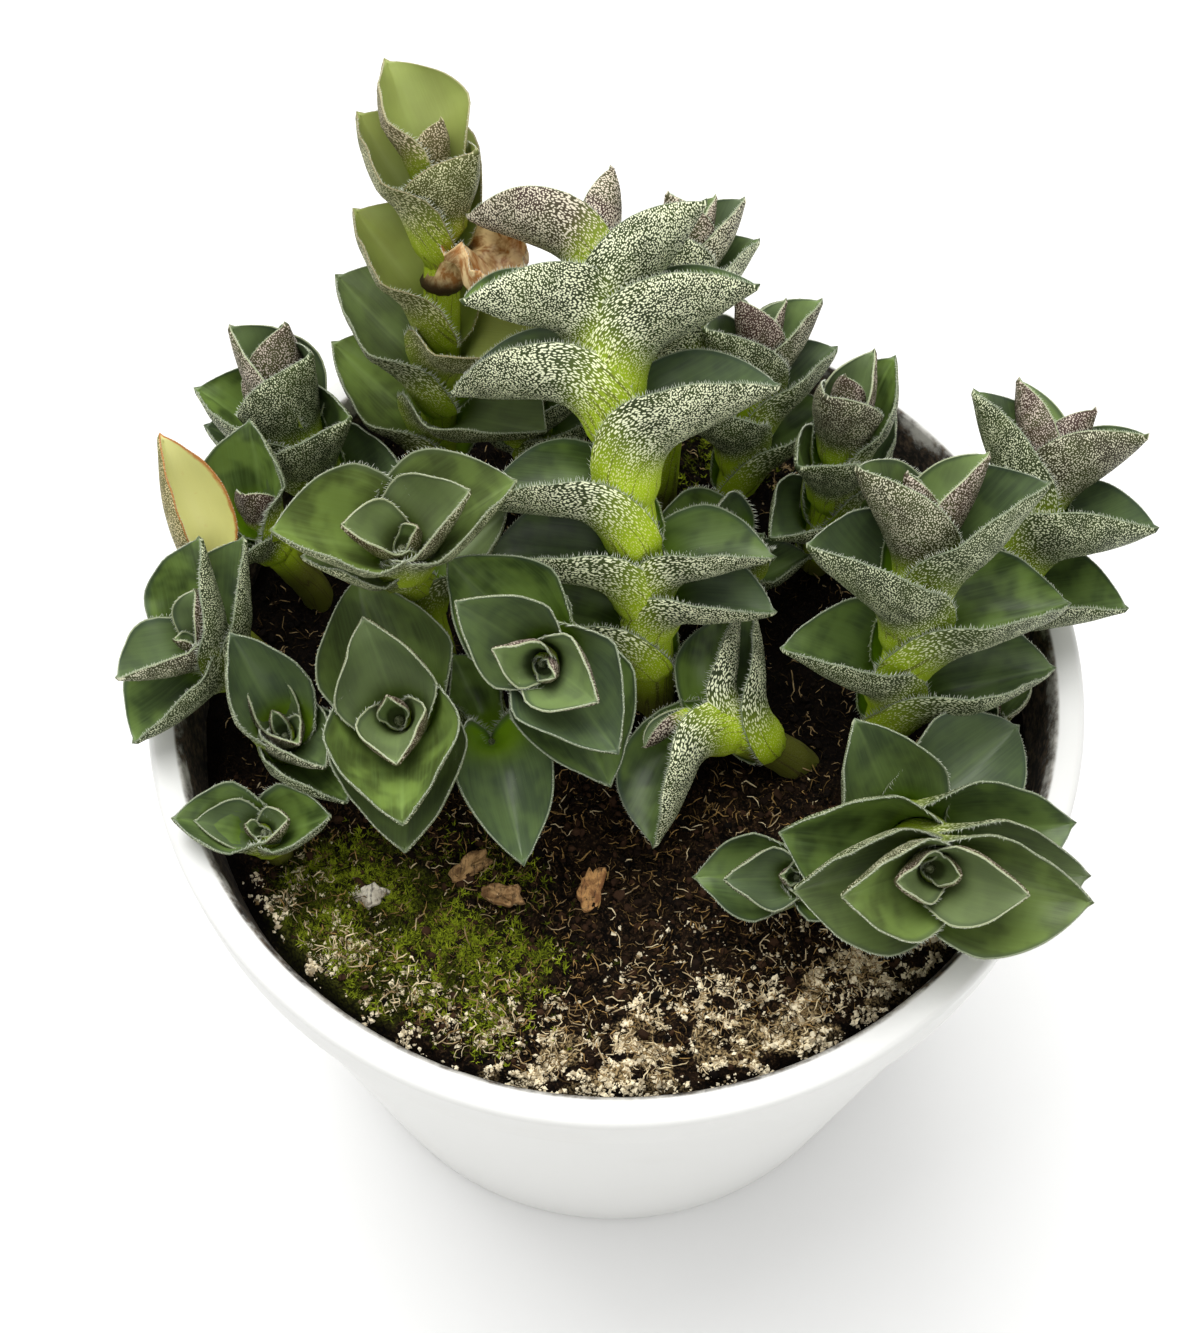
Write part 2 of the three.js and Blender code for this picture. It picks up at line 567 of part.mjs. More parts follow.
// Keeps the largest shell of a joined solid, so that no hollow is left closed inside it.
function outerShell(body) {
  const mesh = body.getMesh();
  const parent = Array.from({ length: mesh.vertProperties.length / 3 }, (_, i) => i);
  const root = (i) => {
    while (parent[i] !== i) {
      parent[i] = parent[parent[i]];
      i = parent[i];
    }
    return i;
  };
  for (let i = 0; i < mesh.triVerts.length; i += 3) {
    parent[root(mesh.triVerts[i])] = root(mesh.triVerts[i + 1]);
    parent[root(mesh.triVerts[i + 1])] = root(mesh.triVerts[i + 2]);
  }
  const shells = new Map();
  for (let i = 0; i < mesh.triVerts.length; i += 3) {
    const key = root(mesh.triVerts[i]);
    if (!shells.has(key)) shells.set(key, []);
    shells.get(key).push(i);
  }
  const list = [...shells.values()].sort((a, b) => b.length - a.length);
  const kept = list[0].flatMap((i) => [mesh.triVerts[i], mesh.triVerts[i + 1], mesh.triVerts[i + 2]]);
  return { vertProperties: mesh.vertProperties, triVerts: kept };
}

const MATERIALS = {
  pot: new THREE.MeshStandardMaterial({ color: 0xf2f2f0, roughness: 0.45, metalness: 0 }),
  soil: new THREE.MeshStandardMaterial({ color: 0x2e2419, roughness: 1, metalness: 0 }),
  leaf: new THREE.MeshStandardMaterial({ color: 0x4f6b3c, roughness: 0.5, metalness: 0 }),
  bark: new THREE.MeshStandardMaterial({ color: 0x6e472c, roughness: 0.9, metalness: 0 }),
};

function place(plant, name, material, body) {
  const { vertProperties, triVerts } = outerShell(body);
  const used = new Map();
  const position = [];
  const index = triVerts.map((v) => {
    if (!used.has(v)) {
      used.set(v, position.length / 3);
      position.push(vertProperties[v * 3], vertProperties[v * 3 + 1], vertProperties[v * 3 + 2]);
    }
    return used.get(v);
  });
  const geometry = new THREE.BufferGeometry();
  geometry.setAttribute("position", new THREE.Float32BufferAttribute(position, 3));
  geometry.setIndex(index);
  const mesh = new THREE.Mesh(geometry, material);
  mesh.name = name;
  plant.add(mesh);
}

// A solid turned about the pot's axis from an outline of radius and height. Its ends lie on the
// axis.
function turned(outline, sides) {
  const corners = [];
  const triangles = [];
  const at = [];
  for (let i = 0; i < sides; i++) {
    const w = 2 * Math.PI * i / sides;
    at.push(outline.map(([r, z], j) => {
      if (r === 0 && i > 0) return at[0][j];
      corners.push([r * Math.cos(w), r * Math.sin(w), z]);
      return corners.length - 1;
    }));
  }
  for (let i = 0; i < sides; i++) {
    const here = at[i];
    const next = at[(i + 1) % sides];
    for (let j = 0; j + 1 < outline.length; j++) {
      const k = j + 1;
      if (here[j] !== next[j]) triangles.push([here[j], next[j], next[k]]);
      if (here[k] !== next[k]) triangles.push([here[j], next[k], here[k]]);
    }
  }
  return solid(corners, triangles);
}

function post(x, y, z0, z1, r0, r1, sides) {
  const ring = (z, r) => Array.from({ length: sides }, (_, m) => {
    const w = 2 * Math.PI * m / sides;
    return [x + r * Math.cos(w), y + r * Math.sin(w), z];
  });
  return tube([ring(z0, r0), ring(z1, r1)]);
}

const LIP_FOOT = MOUTH_RADIUS + WALL + 0.6;
const innerRadius = (z) => mix(FOOT_RADIUS - WALL, MOUTH_RADIUS, (z - WALL) / (RIM_HEIGHT - WALL));

function buildPot() {
  const outline = [
    [0, 0], [FOOT_RADIUS, 0], [FOOT_RADIUS + 0.3, 1.2], [LIP_FOOT, RIM_HEIGHT - LIP_DROP],
    [RIM_RADIUS - 0.7, RIM_HEIGHT - LIP_DROP], [RIM_RADIUS, RIM_HEIGHT - 1.2],
    [RIM_RADIUS - 1, RIM_HEIGHT], [MOUTH_RADIUS + 0.4, RIM_HEIGHT], [MOUTH_RADIUS, RIM_HEIGHT - 0.8],
    [innerRadius(WALL + 1), WALL + 1], [innerRadius(WALL) - 1, WALL], [0, WALL],
  ];
  let pot = turned(outline, POT_SIDES);
  for (let i = 0; i < DRAIN_HOLES; i++) {
    const w = 2 * Math.PI * (i + 0.5) / DRAIN_HOLES;
    const x = DRAIN_CIRCLE * Math.cos(w);
    const y = DRAIN_CIRCLE * Math.sin(w);
    pot = pot.subtract(post(x, y, -1, WALL + 1, DRAIN_RADIUS, DRAIN_RADIUS, 10));
  }
  return pot;
}

function buildSoil(holes) {
  const corners = [];
  const triangles = [];
  const floor = WALL + SOIL_GAP;
  const rim = (z) => innerRadius(z) * Math.cos(Math.PI / SOIL_SIDES) - SOIL_GAP - 0.15;
  corners.push([0, 0, soilHeight(0, 0)]);
  for (let k = 1; k <= SOIL_RINGS; k++) {
    for (let i = 0; i < SOIL_SIDES; i++) {
      const w = 2 * Math.PI * (i + 0.5 * (k % 2)) / SOIL_SIDES;
      const r = rim(SOIL_LEVEL) * k / SOIL_RINGS;
      corners.push([r * Math.cos(w), r * Math.sin(w), soilHeight(r * Math.cos(w), r * Math.sin(w))]);
    }
  }
  const at = (k, i) => 1 + (k - 1) * SOIL_SIDES + ((i % SOIL_SIDES) + SOIL_SIDES) % SOIL_SIDES;
  for (let i = 0; i < SOIL_SIDES; i++) triangles.push([0, at(1, i), at(1, i + 1)]);
  for (let k = 1; k < SOIL_RINGS; k++) {
    for (let i = 0; i < SOIL_SIDES; i++) {
      const [a, b] = [at(k, i), at(k, i + 1)];
      const [c, d] = [at(k + 1, i), at(k + 1, i + 1)];
      if (k % 2) triangles.push([a, c, d], [a, d, b]);
      else triangles.push([a, c, b], [b, c, d]);
    }
  }
  const low = corners.length;
  const shift = 0.5 * (SOIL_RINGS % 2);
  for (let i = 0; i < SOIL_SIDES; i++) {
    const w = 2 * Math.PI * (i + shift) / SOIL_SIDES;
    const r = rim(floor) - 1.2;
    corners.push([r * Math.cos(w), r * Math.sin(w), floor]);
  }
  corners.push([0, 0, floor]);
  for (let i = 0; i < SOIL_SIDES; i++) {
    const j = (i + 1) % SOIL_SIDES;
    triangles.push([at(SOIL_RINGS, i), low + i, low + j], [at(SOIL_RINGS, i), low + j, at(SOIL_RINGS, j)]);
    triangles.push([low + SOIL_SIDES, low + j, low + i]);
  }
  let soil = solid(corners, triangles);
  for (const hole of holes) soil = soil.subtract(hole);
  return soil;
}

// The plain hole that a stem stands in.
function stemHole(stem) {
  const { base, rise } = stemCurve(stem);
  const r = stem.radius + HOLE_GAP;
  return tube([
    ringAround(add(base, rise, -STUB - 0.5), rise, r, STEM_SIDES),
    ringAround(add(base, rise, 7), rise, r + 1.2, STEM_SIDES),
  ]);
}

// A flat chip of bark, its lower part sunk in the soil. A recess is the same shape, larger.
function chipSolid({ at, turn, size, sides }, gap) {
  const [length, width, thick] = size;
  const w0 = turn * DEG;
  const low = soilHeight(at[0], at[1]) - CHIP_SINK - gap;
  const ring = (z, k) => Array.from({ length: sides }, (_, m) => {
    const w = 2 * Math.PI * (m + 0.2 * (m % 2)) / sides;
    const x = (length / 2 * k + gap) * Math.cos(w);
    const y = (width / 2 * k + gap) * Math.sin(w);
    return [at[0] + x * Math.cos(w0) - y * Math.sin(w0), at[1] + x * Math.sin(w0) + y * Math.cos(w0), z];
  });
  return tube([ring(low, 0.95), ring(low + thick + 3 * gap, gap ? 1 : 0.8)]);
}

const plant = new THREE.Group();
plant.name = "chain_plant";
place(plant, "pot", MATERIALS.pot, buildPot());
const recesses = CHIPS.map((chip) => chipSolid(chip, CHIP_GAP));
place(plant, "soil", MATERIALS.soil, buildSoil([...STEMS.map(stemHole), ...recesses]));
for (const chip of CHIPS) place(plant, chip.name, MATERIALS.bark, chipSolid(chip, 0));
STEMS.forEach((stem, owner) => {
  const curve = stemCurve(stem);
  const rings = Array.from({ length: 41 }, (_, i) => curve.at(i / 40));
  take(rings.flatMap(({ p, a }) => ringAround(p, a, stem.radius, 8)), owner);
});
STEMS.forEach((stem, owner) => {
  let body = stemSolid(stem);
  for (const leaf of stemLeaves(stem)) {
    const settled = settle(leaf, owner);
    if (settled) body = body.add(leafSolid(settled));
  }
  place(plant, stem.name, MATERIALS.leaf, body);
});

export default plant;
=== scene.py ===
"""The looks of a potted chain plant (Callisia navicularis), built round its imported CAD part.

Millimetres are used while a shape is computed, and mesh_object() turns them into metres.
"""

import math

import bpy
import numpy as np
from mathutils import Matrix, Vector


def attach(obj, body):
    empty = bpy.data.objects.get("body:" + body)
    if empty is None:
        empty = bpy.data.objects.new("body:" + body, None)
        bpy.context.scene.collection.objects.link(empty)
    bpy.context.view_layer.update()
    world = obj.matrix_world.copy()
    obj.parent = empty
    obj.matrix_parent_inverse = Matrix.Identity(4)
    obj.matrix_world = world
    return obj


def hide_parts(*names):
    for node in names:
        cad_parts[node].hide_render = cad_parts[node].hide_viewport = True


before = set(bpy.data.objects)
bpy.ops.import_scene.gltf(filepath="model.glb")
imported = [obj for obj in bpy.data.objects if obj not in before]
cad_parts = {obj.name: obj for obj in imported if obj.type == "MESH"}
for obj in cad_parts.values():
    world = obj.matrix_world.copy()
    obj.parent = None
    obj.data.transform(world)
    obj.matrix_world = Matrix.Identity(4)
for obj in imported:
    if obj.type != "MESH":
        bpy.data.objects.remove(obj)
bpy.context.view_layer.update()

# The part's own measures, in mm. WALL_LEAN is how much less room there is within the rim for each mm
# down. STUB is how deep a stem goes on in the soil. CLEAR is the room between the leaves of two stems,
# SOIL_CLEAR the room over the ground and RIM_CLEAR the room at the rim. OWN_SIDE is how far the checked
# points of a leaf keep to its own side of the stem.
METRES = 0.001
RIM_RADIUS = 60.0
MOUTH_RADIUS = 56.0
RIM_HEIGHT = 96.0
FOOT_RADIUS = 42.5
WALL = 1.5
WALL_LEAN = 0.12
SOIL_LEVEL = 86.0
SOIL_EDGE = 55.0
STUB = 8.0
CLEAR = 1.95
SOIL_CLEAR = 1.0
RIM_CLEAR = 0.9
MIDRIB_STEPS = 24
OWN_SIDE = 0.45

# What most stems share. A grown leaf is `broad` times as wide as long and arches through `cup` degrees
# to each side. The youngest is `bud` times as long as the one `adult` leaves below, and the leaves are
# fully open after `spread` of them. Each turns `twist` degrees more. The stem leaves the soil along
# `rise`, and k0 and k1 are how long it holds its first and its last direction.
USUAL = dict(
    broad=1, adult=3, bud=0.3, spread=6, radius=2.6, cup=84, twist=0, rise=(0, 0, 1), k0=0.35, k1=0.35,
    opened={}, turned={}, grown={}, slid={},
)


def shoot(name, base, tip, axis, face, **own):
    """One stem: where it leaves the soil, its tip, and which ways its tip and its first leaf face.

    Its own values are the number, size, spread and spacing of its leaves from the tip down, and for
    single leaves how far they are opened, turned, grown longer or slid down the stem.
    """
    return dict(USUAL, name=name, base=base, tip=tip, axis=axis, face=face, **own)


STEMS = [
    shoot("rosette_front_right", (34, -16), (37.2, -31.7, 107), (0.02, -0.48, 0.88), (1, -0.05, -0.03),
        leaves=11, size=23, broad=0.96, opens=(16, 74), gaps=(1.2, 2.6), adult=4, cup=64,
        turned={7: -12, 8: 12, 9: -58, 10: 40}, grown={9: 0.9, 10: 0.95}),
    shoot("creeping_stem_centre", (24.5, -7), (8.6, -6.7, 98), (-0.86, 0, 0.51), (0, -0.88, -0.48),
        leaves=5, size=20, broad=0.95, opens=(50, 84), gaps=(2.5, 6), adult=1, bud=0.35, spread=2,
        rise=(-0.6, 0, 1), opened={1: 80, 4: 66}, turned={4: 24}, grown={1: 0.92, 3: 0.88, 4: 0.85},
        slid={1: 3.5, 3: 1.5}),
    shoot("leafy_stem_tall_centre", (4.8, 1.9), (-1.7, 33, 135), (-0.05, 0.88, 0.48), (0.99, -0.07, 0.13),
        leaves=12, size=25, broad=0.94, opens=(30, 84), gaps=(2.2, 5.6), radius=3, adult=2, bud=0.6, k0=0.5,
        k1=0.3, opened={0: 4, 1: 68, 2: 46, 3: 72, 4: 72, 5: 85, 6: 72, 7: 85, 11: 84}, turned={3: 34},
        grown={2: 0.88, 3: 0.88, 4: 0.95, 5: 0.92, 7: 0.86, 8: 0.74, 9: 0.9, 10: 0.74, 11: 0.85},
        slid={2: 3, 4: -1.5, 5: -3, 6: -1, 8: 2, 9: -2, 10: -2, 11: -3}),
    shoot("leafy_stem_right", (34.3, -5.4), (37, 4.4, 119), (0.05, 0.59, 0.8), (-0.94, -0.07, 0.33),
        leaves=8, size=24, broad=1.02, opens=(14, 70), gaps=(2, 5), radius=2.8, bud=0.5, spread=7,
        opened={5: 74, 7: 78}, grown={6: 0.86}),
    shoot("rosette_left_front", (-24.7, -10.7), (-26.6, -12.4, 108), (-0.1, -0.39, 0.92),
        face=(-0.2, 0.86, 0.47), leaves=7, size=22, broad=1.08, opens=(12, 72), gaps=(1.4, 3.2), cup=66,
        twist=2, opened={1: 38, 3: 64, 5: 80}, turned={3: -8, 5: -18}, grown={5: 1.02}),
    shoot("rosette_centre", (-8, 0), (-9, -9.5, 117), (-0.12, -0.6, 0.79), (0.93, -0.33, -0.18),
        leaves=9, size=20.5, opens=(16, 76), gaps=(1.4, 4), adult=4, cup=64, twist=-4,
        turned={4: -16, 6: -22, 8: -10}, grown={6: 1.1, 8: 0.9}),
    shoot("rosette_left_back", (-22.9, 4.2), (-25.9, 4.2, 121), (-0.05, -0.14, 0.99), (0.98, 0.16, 0.08),
        leaves=7, size=21, broad=1.02, opens=(16, 74), gaps=(1.4, 3.4), cup=64, twist=1),
    shoot("leafy_stem_tall_left", (-24.2, 36.3), (-22.4, 47.3, 138), (-0.08, 0.51, 0.85),
        face=(0.81, -0.51, 0.3), leaves=10, size=22.5, broad=1.15, opens=(10, 64), gaps=(1.8, 6.2),
        radius=2.4, adult=2, bud=0.42, spread=5, cup=64, opened={1: 34, 2: 24, 3: 46, 4: 72, 5: 56, 6: 66},
        turned={1: -14}, grown={0: 0.9, 2: 0.66, 3: 0.9, 4: 0.58, 5: 0.9, 6: 0.9},
        slid={2: 2, 3: -1, 4: -3.5}),
    shoot("leafy_stem_back_left", (-36, 29), (-41.8, 32.9, 104), (-0.05, 0.42, 0.91), (0.83, -0.26, 0.49),
        leaves=7, size=19, broad=1.15, opens=(4, 64), gaps=(1.4, 3.4), radius=2.3, adult=2, bud=0.9),
    shoot("old_leaf_left_edge", (-46.5, 8), (-52, 10, 101), (0.05, 0.45, 0.89), (-0.74, 0.64, -0.21),
        leaves=1, size=23, broad=0.8, opens=(16, 40), gaps=(2, 3), radius=1.6, adult=1, bud=1, spread=0),
    shoot("leafy_stem_over_left_rim", (-42, 2), (-51.7, 0.3, 104), (-0.29, -0.03, 0.96),
        face=(-0.83, -0.55, -0.07), leaves=6, size=19, opens=(12, 66), gaps=(1.6, 3), radius=2.4, spread=5,
        cup=70, twist=6),
    shoot("leafy_stem_over_right_rim", (47.8, 7.9), (54.2, 20.4, 108), (0.25, 0.8, 0.55),
        face=(0.91, -0.35, 0.22), leaves=10, size=22, opens=(18, 64), gaps=(2, 4.6), bud=0.6),
    shoot("leafy_stem_back_right", (27.2, 23.4), (29.1, 27.8, 110), (0.08, 0.42, 0.91),
        face=(-0.57, -0.62, 0.54), leaves=8, size=18, opens=(8, 58), gaps=(1.6, 4), radius=2.3, bud=0.6,
        spread=7),
    shoot("leafy_stem_back_right_inner", (15.1, 29.8), (18.6, 39, 108), (0.11, 0.59, 0.8),
        face=(0.86, 0.4, -0.33), leaves=7, size=18, opens=(14, 62), gaps=(1.6, 3.8), radius=2.2, bud=0.6),
    shoot("leafy_stem_back_centre", (6.2, 33), (9.6, 47.8, 120), (0.11, 0.63, 0.77), (0.86, 0.4, -0.33),
        leaves=7, size=16, broad=1.05, opens=(14, 58), gaps=(1.6, 4.2), radius=2.2, bud=0.6),
    shoot("leafy_stem_left_edge", (-40, 18), (-45.8, 19, 103), (-0.05, 0.15, 0.99), (-0.15, -0.95, -0.29),
        leaves=4, size=15, broad=1.1, opens=(10, 60), gaps=(1.4, 3), radius=2.2, adult=1, bud=0.6, spread=3,
        cup=60, opened={1: 30}),
    shoot("rosette_left_soil", (-43.1, -19.9), (-44.1, -20.9, 94), (0, -0.12, 0.99), (-1, 0, 0),
        leaves=5, size=13.5, opens=(16, 68), gaps=(1.2, 1.8), radius=1.8, spread=4, cup=66),
    shoot("rosette_left_low", (-41.7, -9.4), (-41.7, -9.4, 98), (0, -0.2, 0.98), (-0.53, 0.75, 0.4),
        leaves=6, size=18, opens=(16, 70), gaps=(1.4, 2.4), radius=2, adult=4, spread=5),
    shoot("rosette_front_small", (24, -24), (22.2, -28, 96), (-0.1, -0.29, 0.95), (-1, 0, 0),
        leaves=5, size=15, opens=(16, 74), gaps=(1.2, 2), radius=1.8, spread=4, cup=64),
    shoot("low_leaves_centre", (-15, -12), (-15.7, -9.6, 96.5), (0.1, -0.39, 0.92), (0.51, -0.76, -0.41),
        leaves=3, size=25, broad=0.92, opens=(74, 80), gaps=(2, 2), radius=2.2, adult=1, bud=1, spread=2,
        cup=60, turned={2: -50}, grown={1: 0.5, 2: 0.6}),
    shoot("low_leaves_right", (15, 14), (16.4, 15.7, 100), (0.1, -0.19, 0.98), (0.89, 0.39, 0.21),
        leaves=6, size=20, broad=0.95, opens=(20, 70), gaps=(1.8, 3), radius=2.2, adult=2, bud=0.6,
        spread=5, cup=70),
    shoot("bud_right_rim", (46.2, -4.9), (47.2, -4.9, 94), (0, -0.3, 0.96), (0.6, 0.7, 0.38),
        leaves=4, size=14, broad=1.1, opens=(14, 60), gaps=(1.4, 2.4), radius=1.8, spread=3),
    shoot("leafy_stem_back_left_inner", (-9.7, 37.9), (-12.7, 38.6, 101), (-0.11, 0.21, 0.97), (-1, 0, 0),
        leaves=6, size=19, opens=(16, 70), gaps=(1.8, 3.2), radius=2.2, adult=2, spread=5),
]


# Small helpers.
def smooth(x):
    x = np.clip(x, 0, 1)
    return x * x * (3 - 2 * x)


def mix(a, b, t):
    return a + (b - a) * t


def unit(v):
    v = np.asarray(v, float)
    return v / np.linalg.norm(v, axis=-1, keepdims=True)


def lattice(ix, iy, seed):
    h = (ix * 374761393 + iy * 668265263 + seed * 974634777) & 0xFFFFFFFF
    h = ((h ^ (h >> 13)) * 1274126177) & 0xFFFFFFFF
    return ((h ^ (h >> 16)) & 0xFFFF) / 32767.5 - 1


def noise(x, y, seed=0):
    """Smooth random waves between -1 and 1, one wave to a unit of length."""
    x, y = np.asarray(x, float), np.asarray(y, float)
    ix, iy = np.floor(x).astype(np.int64), np.floor(y).astype(np.int64)
    fx, fy = smooth(x - ix), smooth(y - iy)
    low = mix(lattice(ix, iy, seed), lattice(ix + 1, iy, seed), fx)
    high = mix(lattice(ix, iy + 1, seed), lattice(ix + 1, iy + 1, seed), fx)
    return mix(low, high, fy)


def soil_height(x, y):
    r = np.hypot(x, y)
    waves = 0.5 * np.sin(x * 0.16 + 1.0) * np.cos(y * 0.13 - 0.6) + 0.35 * np.sin(x * 0.31 - y * 0.27 + 0.8)
    return SOIL_LEVEL + waves * (1 - smooth((r - 40) / 16)) + 1.2 * smooth((-y - 20) / 30)


# How the plant grows, by the same rules as the CAD part.
class Curve:
    """A stem's centre line."""

    def __init__(self, stem):
        self.base = np.array([*stem["base"], SOIL_LEVEL - 2.0])
        self.rise = unit(stem["rise"])
        tip = np.array(stem["tip"], float)
        span = np.linalg.norm(tip - self.base)
        self.corners = [
            self.base,
            self.base + self.rise * span * stem["k0"],
            tip - unit(stem["axis"]) * span * stem["k1"],
            tip,
        ]
        points = self.at(np.arange(61) / 60)[0]
        steps = np.linalg.norm(np.diff(points, axis=0), axis=1)
        self.length = np.concatenate([[0], np.cumsum(steps)])
        self.total = self.length[-1]

    def at(self, t):
        t = np.asarray(t, float)[..., None]
        u = 1 - t
        a, b, c, d = self.corners
        point = u**3 * a + 3 * u * u * t * b + 3 * u * t * t * c + t**3 * d
        way = 3 * u * u * (b - a) + 6 * u * t * (c - b) + 3 * t * t * (d - c)
        return point, unit(way)

    def at_length(self, d):
        i = int(np.clip(np.searchsorted(self.length, d), 1, 60))
        f = np.clip((d - self.length[i - 1]) / (self.length[i] - self.length[i - 1]), 0, 1)
        return self.at((i - 1 + f) / 60)


def stem_leaves(stem, curve):
    """The stem's leaves from the tip down, before they make room for others."""
    leaves = []
    down = 1.0
    for i in range(stem["leaves"]):
        d = curve.total - (down + stem["slid"].get(i, 0))
        if d < 0.5:
            break
        p, a = curve.at_length(d)
        e = unit(np.array(stem["face"], float) - a * np.dot(stem["face"], a))
        turn = (180 * i + stem["twist"] * i + stem["turned"].get(i, 0)) * math.pi / 180
        out = e * math.cos(turn) + np.cross(a, e) * math.sin(turn)
        age = min(1, i / max(stem["adult"], 1))
        length = stem["size"] * (stem["bud"] + (1 - stem["bud"]) * age**0.8) * stem["grown"].get(i, 1)
        spread = min(1, i / max(stem["spread"], 1)) ** 0.8
        step = mix(*stem["gaps"], age)
        leaves.append(dict(
            at=p, axis=a, out=out, side=np.cross(a, out), length=length,
            width=length * (stem["broad"] - 0.12 * (1 - age)),
            open=stem["opened"].get(i, mix(*stem["opens"], spread)),
            sheath_radius=0.4 + stem["radius"] * (0.42 + 0.58 * age),
            sheath=min(0.3 * length, step + 2), cup=stem["cup"] + (1 - age) * 14,
            curl=-8, crease=20, age=age, index=i, d=d,
        ))
        down += step
    return leaves


def leaf_frame(leaf, steps):
    """The course of the midrib: its slope, and how far out and up it has come."""
    hold = min(0.34, leaf["sheath"] / leaf["length"])
    start = 0.35 * hold
    s = np.arange(steps + 1) / steps
    phi = math.radians(leaf["open"]) * smooth((s - start) / (0.5 - start + 0.1 * hold))
    phi = phi + math.radians(leaf["curl"]) * np.clip((s - 0.5) / 0.5, 0, 1) ** 1.5
    m = (phi[1:] + phi[:-1]) / 2
    out = leaf["sheath_radius"] + np.concatenate([[0], np.cumsum(np.sin(m) * leaf["length"] / steps)])
    up = np.concatenate([[0], np.cumsum(np.cos(m) * leaf["length"] / steps)])
    return dict(hold=hold, phi=phi, out=out, up=up, steps=steps)


def along_frame(course, s):
    x = s * course["steps"]
    i = np.minimum(course["steps"] - 1, np.floor(x)).astype(int)
    f = x - i
    return [mix(course[k][i], course[k][i + 1], f) for k in ("phi", "out", "up")]


def leaf_section(leaf, course, s):
    """Half width, the angle the section arches through to each side, and the fold of the midrib."""
    full = leaf["width"] / 2
    base_wrap, hold_wrap = math.radians(172), math.radians(128)
    cup, hold = leaf["cup"], course["hold"]
    w = full * (1 - np.clip((s - 0.42) / 0.58, 0, 1) ** 2.1) ** leaf.get("blunt", 1.0)
    w = np.where(s <= 0.42, mix(base_wrap * leaf["sheath_radius"], full, smooth(s / 0.42)), w)
    w = np.maximum(w, 1e-4)
    wrap = np.radians(mix(cup, cup * 0.55, (s - 0.55) / 0.45))
    middle = mix(hold_wrap, math.radians(cup), smooth((s - hold) / (0.55 - hold)))
    wrap = np.where(s < 0.55, middle, wrap)
    wrap = np.where(s <= hold, mix(base_wrap, hold_wrap, (np.minimum(s, hold) / hold) ** 1.6), wrap)
    return w, wrap, math.radians(leaf["crease"]) * smooth((s - 0.2) / 0.8)


def leaf_points(leaf, course, s, t):
    """Points of a leaf's middle surface and the directions out of its inner face there."""
    phi, out, up = along_frame(course, s)
    w, wrap, fold = leaf_section(leaf, course, s)
    b = np.abs(t) * wrap
    k = np.where(t >= 0, 1.0, -1.0)
    rho = w / wrap
    u = k * rho * (np.sin(fold + b) - np.sin(fold))
    v = rho * (np.cos(fold) - np.cos(fold + b))
    n_out, n_up = -np.cos(phi), np.sin(phi)
    c = np.where(t == 0, 1.0, np.cos(fold + b))
    q = np.where(t == 0, 0.0, -k * np.sin(fold + b))

    def place(o, sd, a):
        return o[..., None] * leaf["out"] + sd[..., None] * leaf["side"] + a[..., None] * leaf["axis"]

    return leaf["at"] + place(out + n_out * v, u, up + n_up * v), place(n_out * c, q, n_up * c)


def own_side(leaf, course, s):
    """How much of a leaf's half width stays on its own side of the stem."""
    phi, out, _ = along_frame(course, s)
    w, wrap, fold = leaf_section(leaf, course, s)
    reach = np.cos(fold) - (out - OWN_SIDE) / (w / wrap * np.maximum(0.05, np.cos(phi)))
    part = np.clip((np.arccos(np.clip(reach, -1, 1)) - fold) / wrap, 0.2, 1)
    return np.where(reach < np.cos(np.minimum(math.pi, fold + wrap)), 1.0, part)


def leaf_samples(leaf):
    """Points spread over a leaf's plain facets, as the CAD part keeps them clear of the others."""
    if leaf["length"] < 12:
        rows, cols = [0, 0.42, 1], [-1, 0, 1]
    elif leaf["length"] < 18.2:
        rows, cols = [0, 0.34, 0.7, 1], [-1, 0, 1]
    else:
        rows, cols = [0, 0.28, 0.62, 1], [-1, -0.5, 0, 0.5, 1]
    rows, cols = np.array(rows, float), np.array(cols, float)
    course = leaf_frame(leaf, MIDRIB_STEPS)
    s, t = np.meshgrid(rows, cols, indexing="ij")
    grid = leaf_points(leaf, course, s, t * own_side(leaf, course, rows)[:, None])[0]
    n = 4 if len(cols) > 3 else 5

    def spread(count):
        x = np.arange((count - 1) * n + 1)
        i = np.minimum(x // n, count - 2)
        return i, (x / n - i)

    iu, a = spread(len(rows))
    iv, b = spread(len(cols))
    a, b = a[:, None, None], b[None, :, None]
    iu, iv = iu[:, None], iv[None, :]
    points = (grid[iu, iv] * (1 - a) * (1 - b) + grid[iu + 1, iv] * a * (1 - b)
              + grid[iu, iv + 1] * (1 - a) * b + grid[iu + 1, iv + 1] * a * b)
    return points.reshape(-1, 3)


taken = []


def take(points, owner):
    taken.append((points, points.min(0), points.max(0), owner))


def is_free(points, owner):
    low, high = points.min(0) - CLEAR, points.max(0) + CLEAR
    for other, other_low, other_high, who in taken:
        if who == owner or (other_low > high).any() or (other_high < low).any():
            continue
        near = other[((other > low) & (other < high)).all(1)]
        if len(near) and (((points[:, None] - near[None]) ** 2).sum(2) < CLEAR**2).any():
            return False
    return True


def is_above_ground(points):
    """Whether all the points are clear of the soil and of the pot's wall and rim."""
    x, y, z = points.T
    r = np.hypot(x, y)
    if ((r < SOIL_EDGE) & (z < soil_height(x, y) + SOIL_CLEAR)).any():
        return False
    wall = MOUTH_RADIUS - (RIM_HEIGHT - z) * WALL_LEAN
    return not ((z < RIM_HEIGHT + RIM_CLEAR) & (r > wall - RIM_CLEAR) & (r < RIM_RADIUS + 1.5)).any()


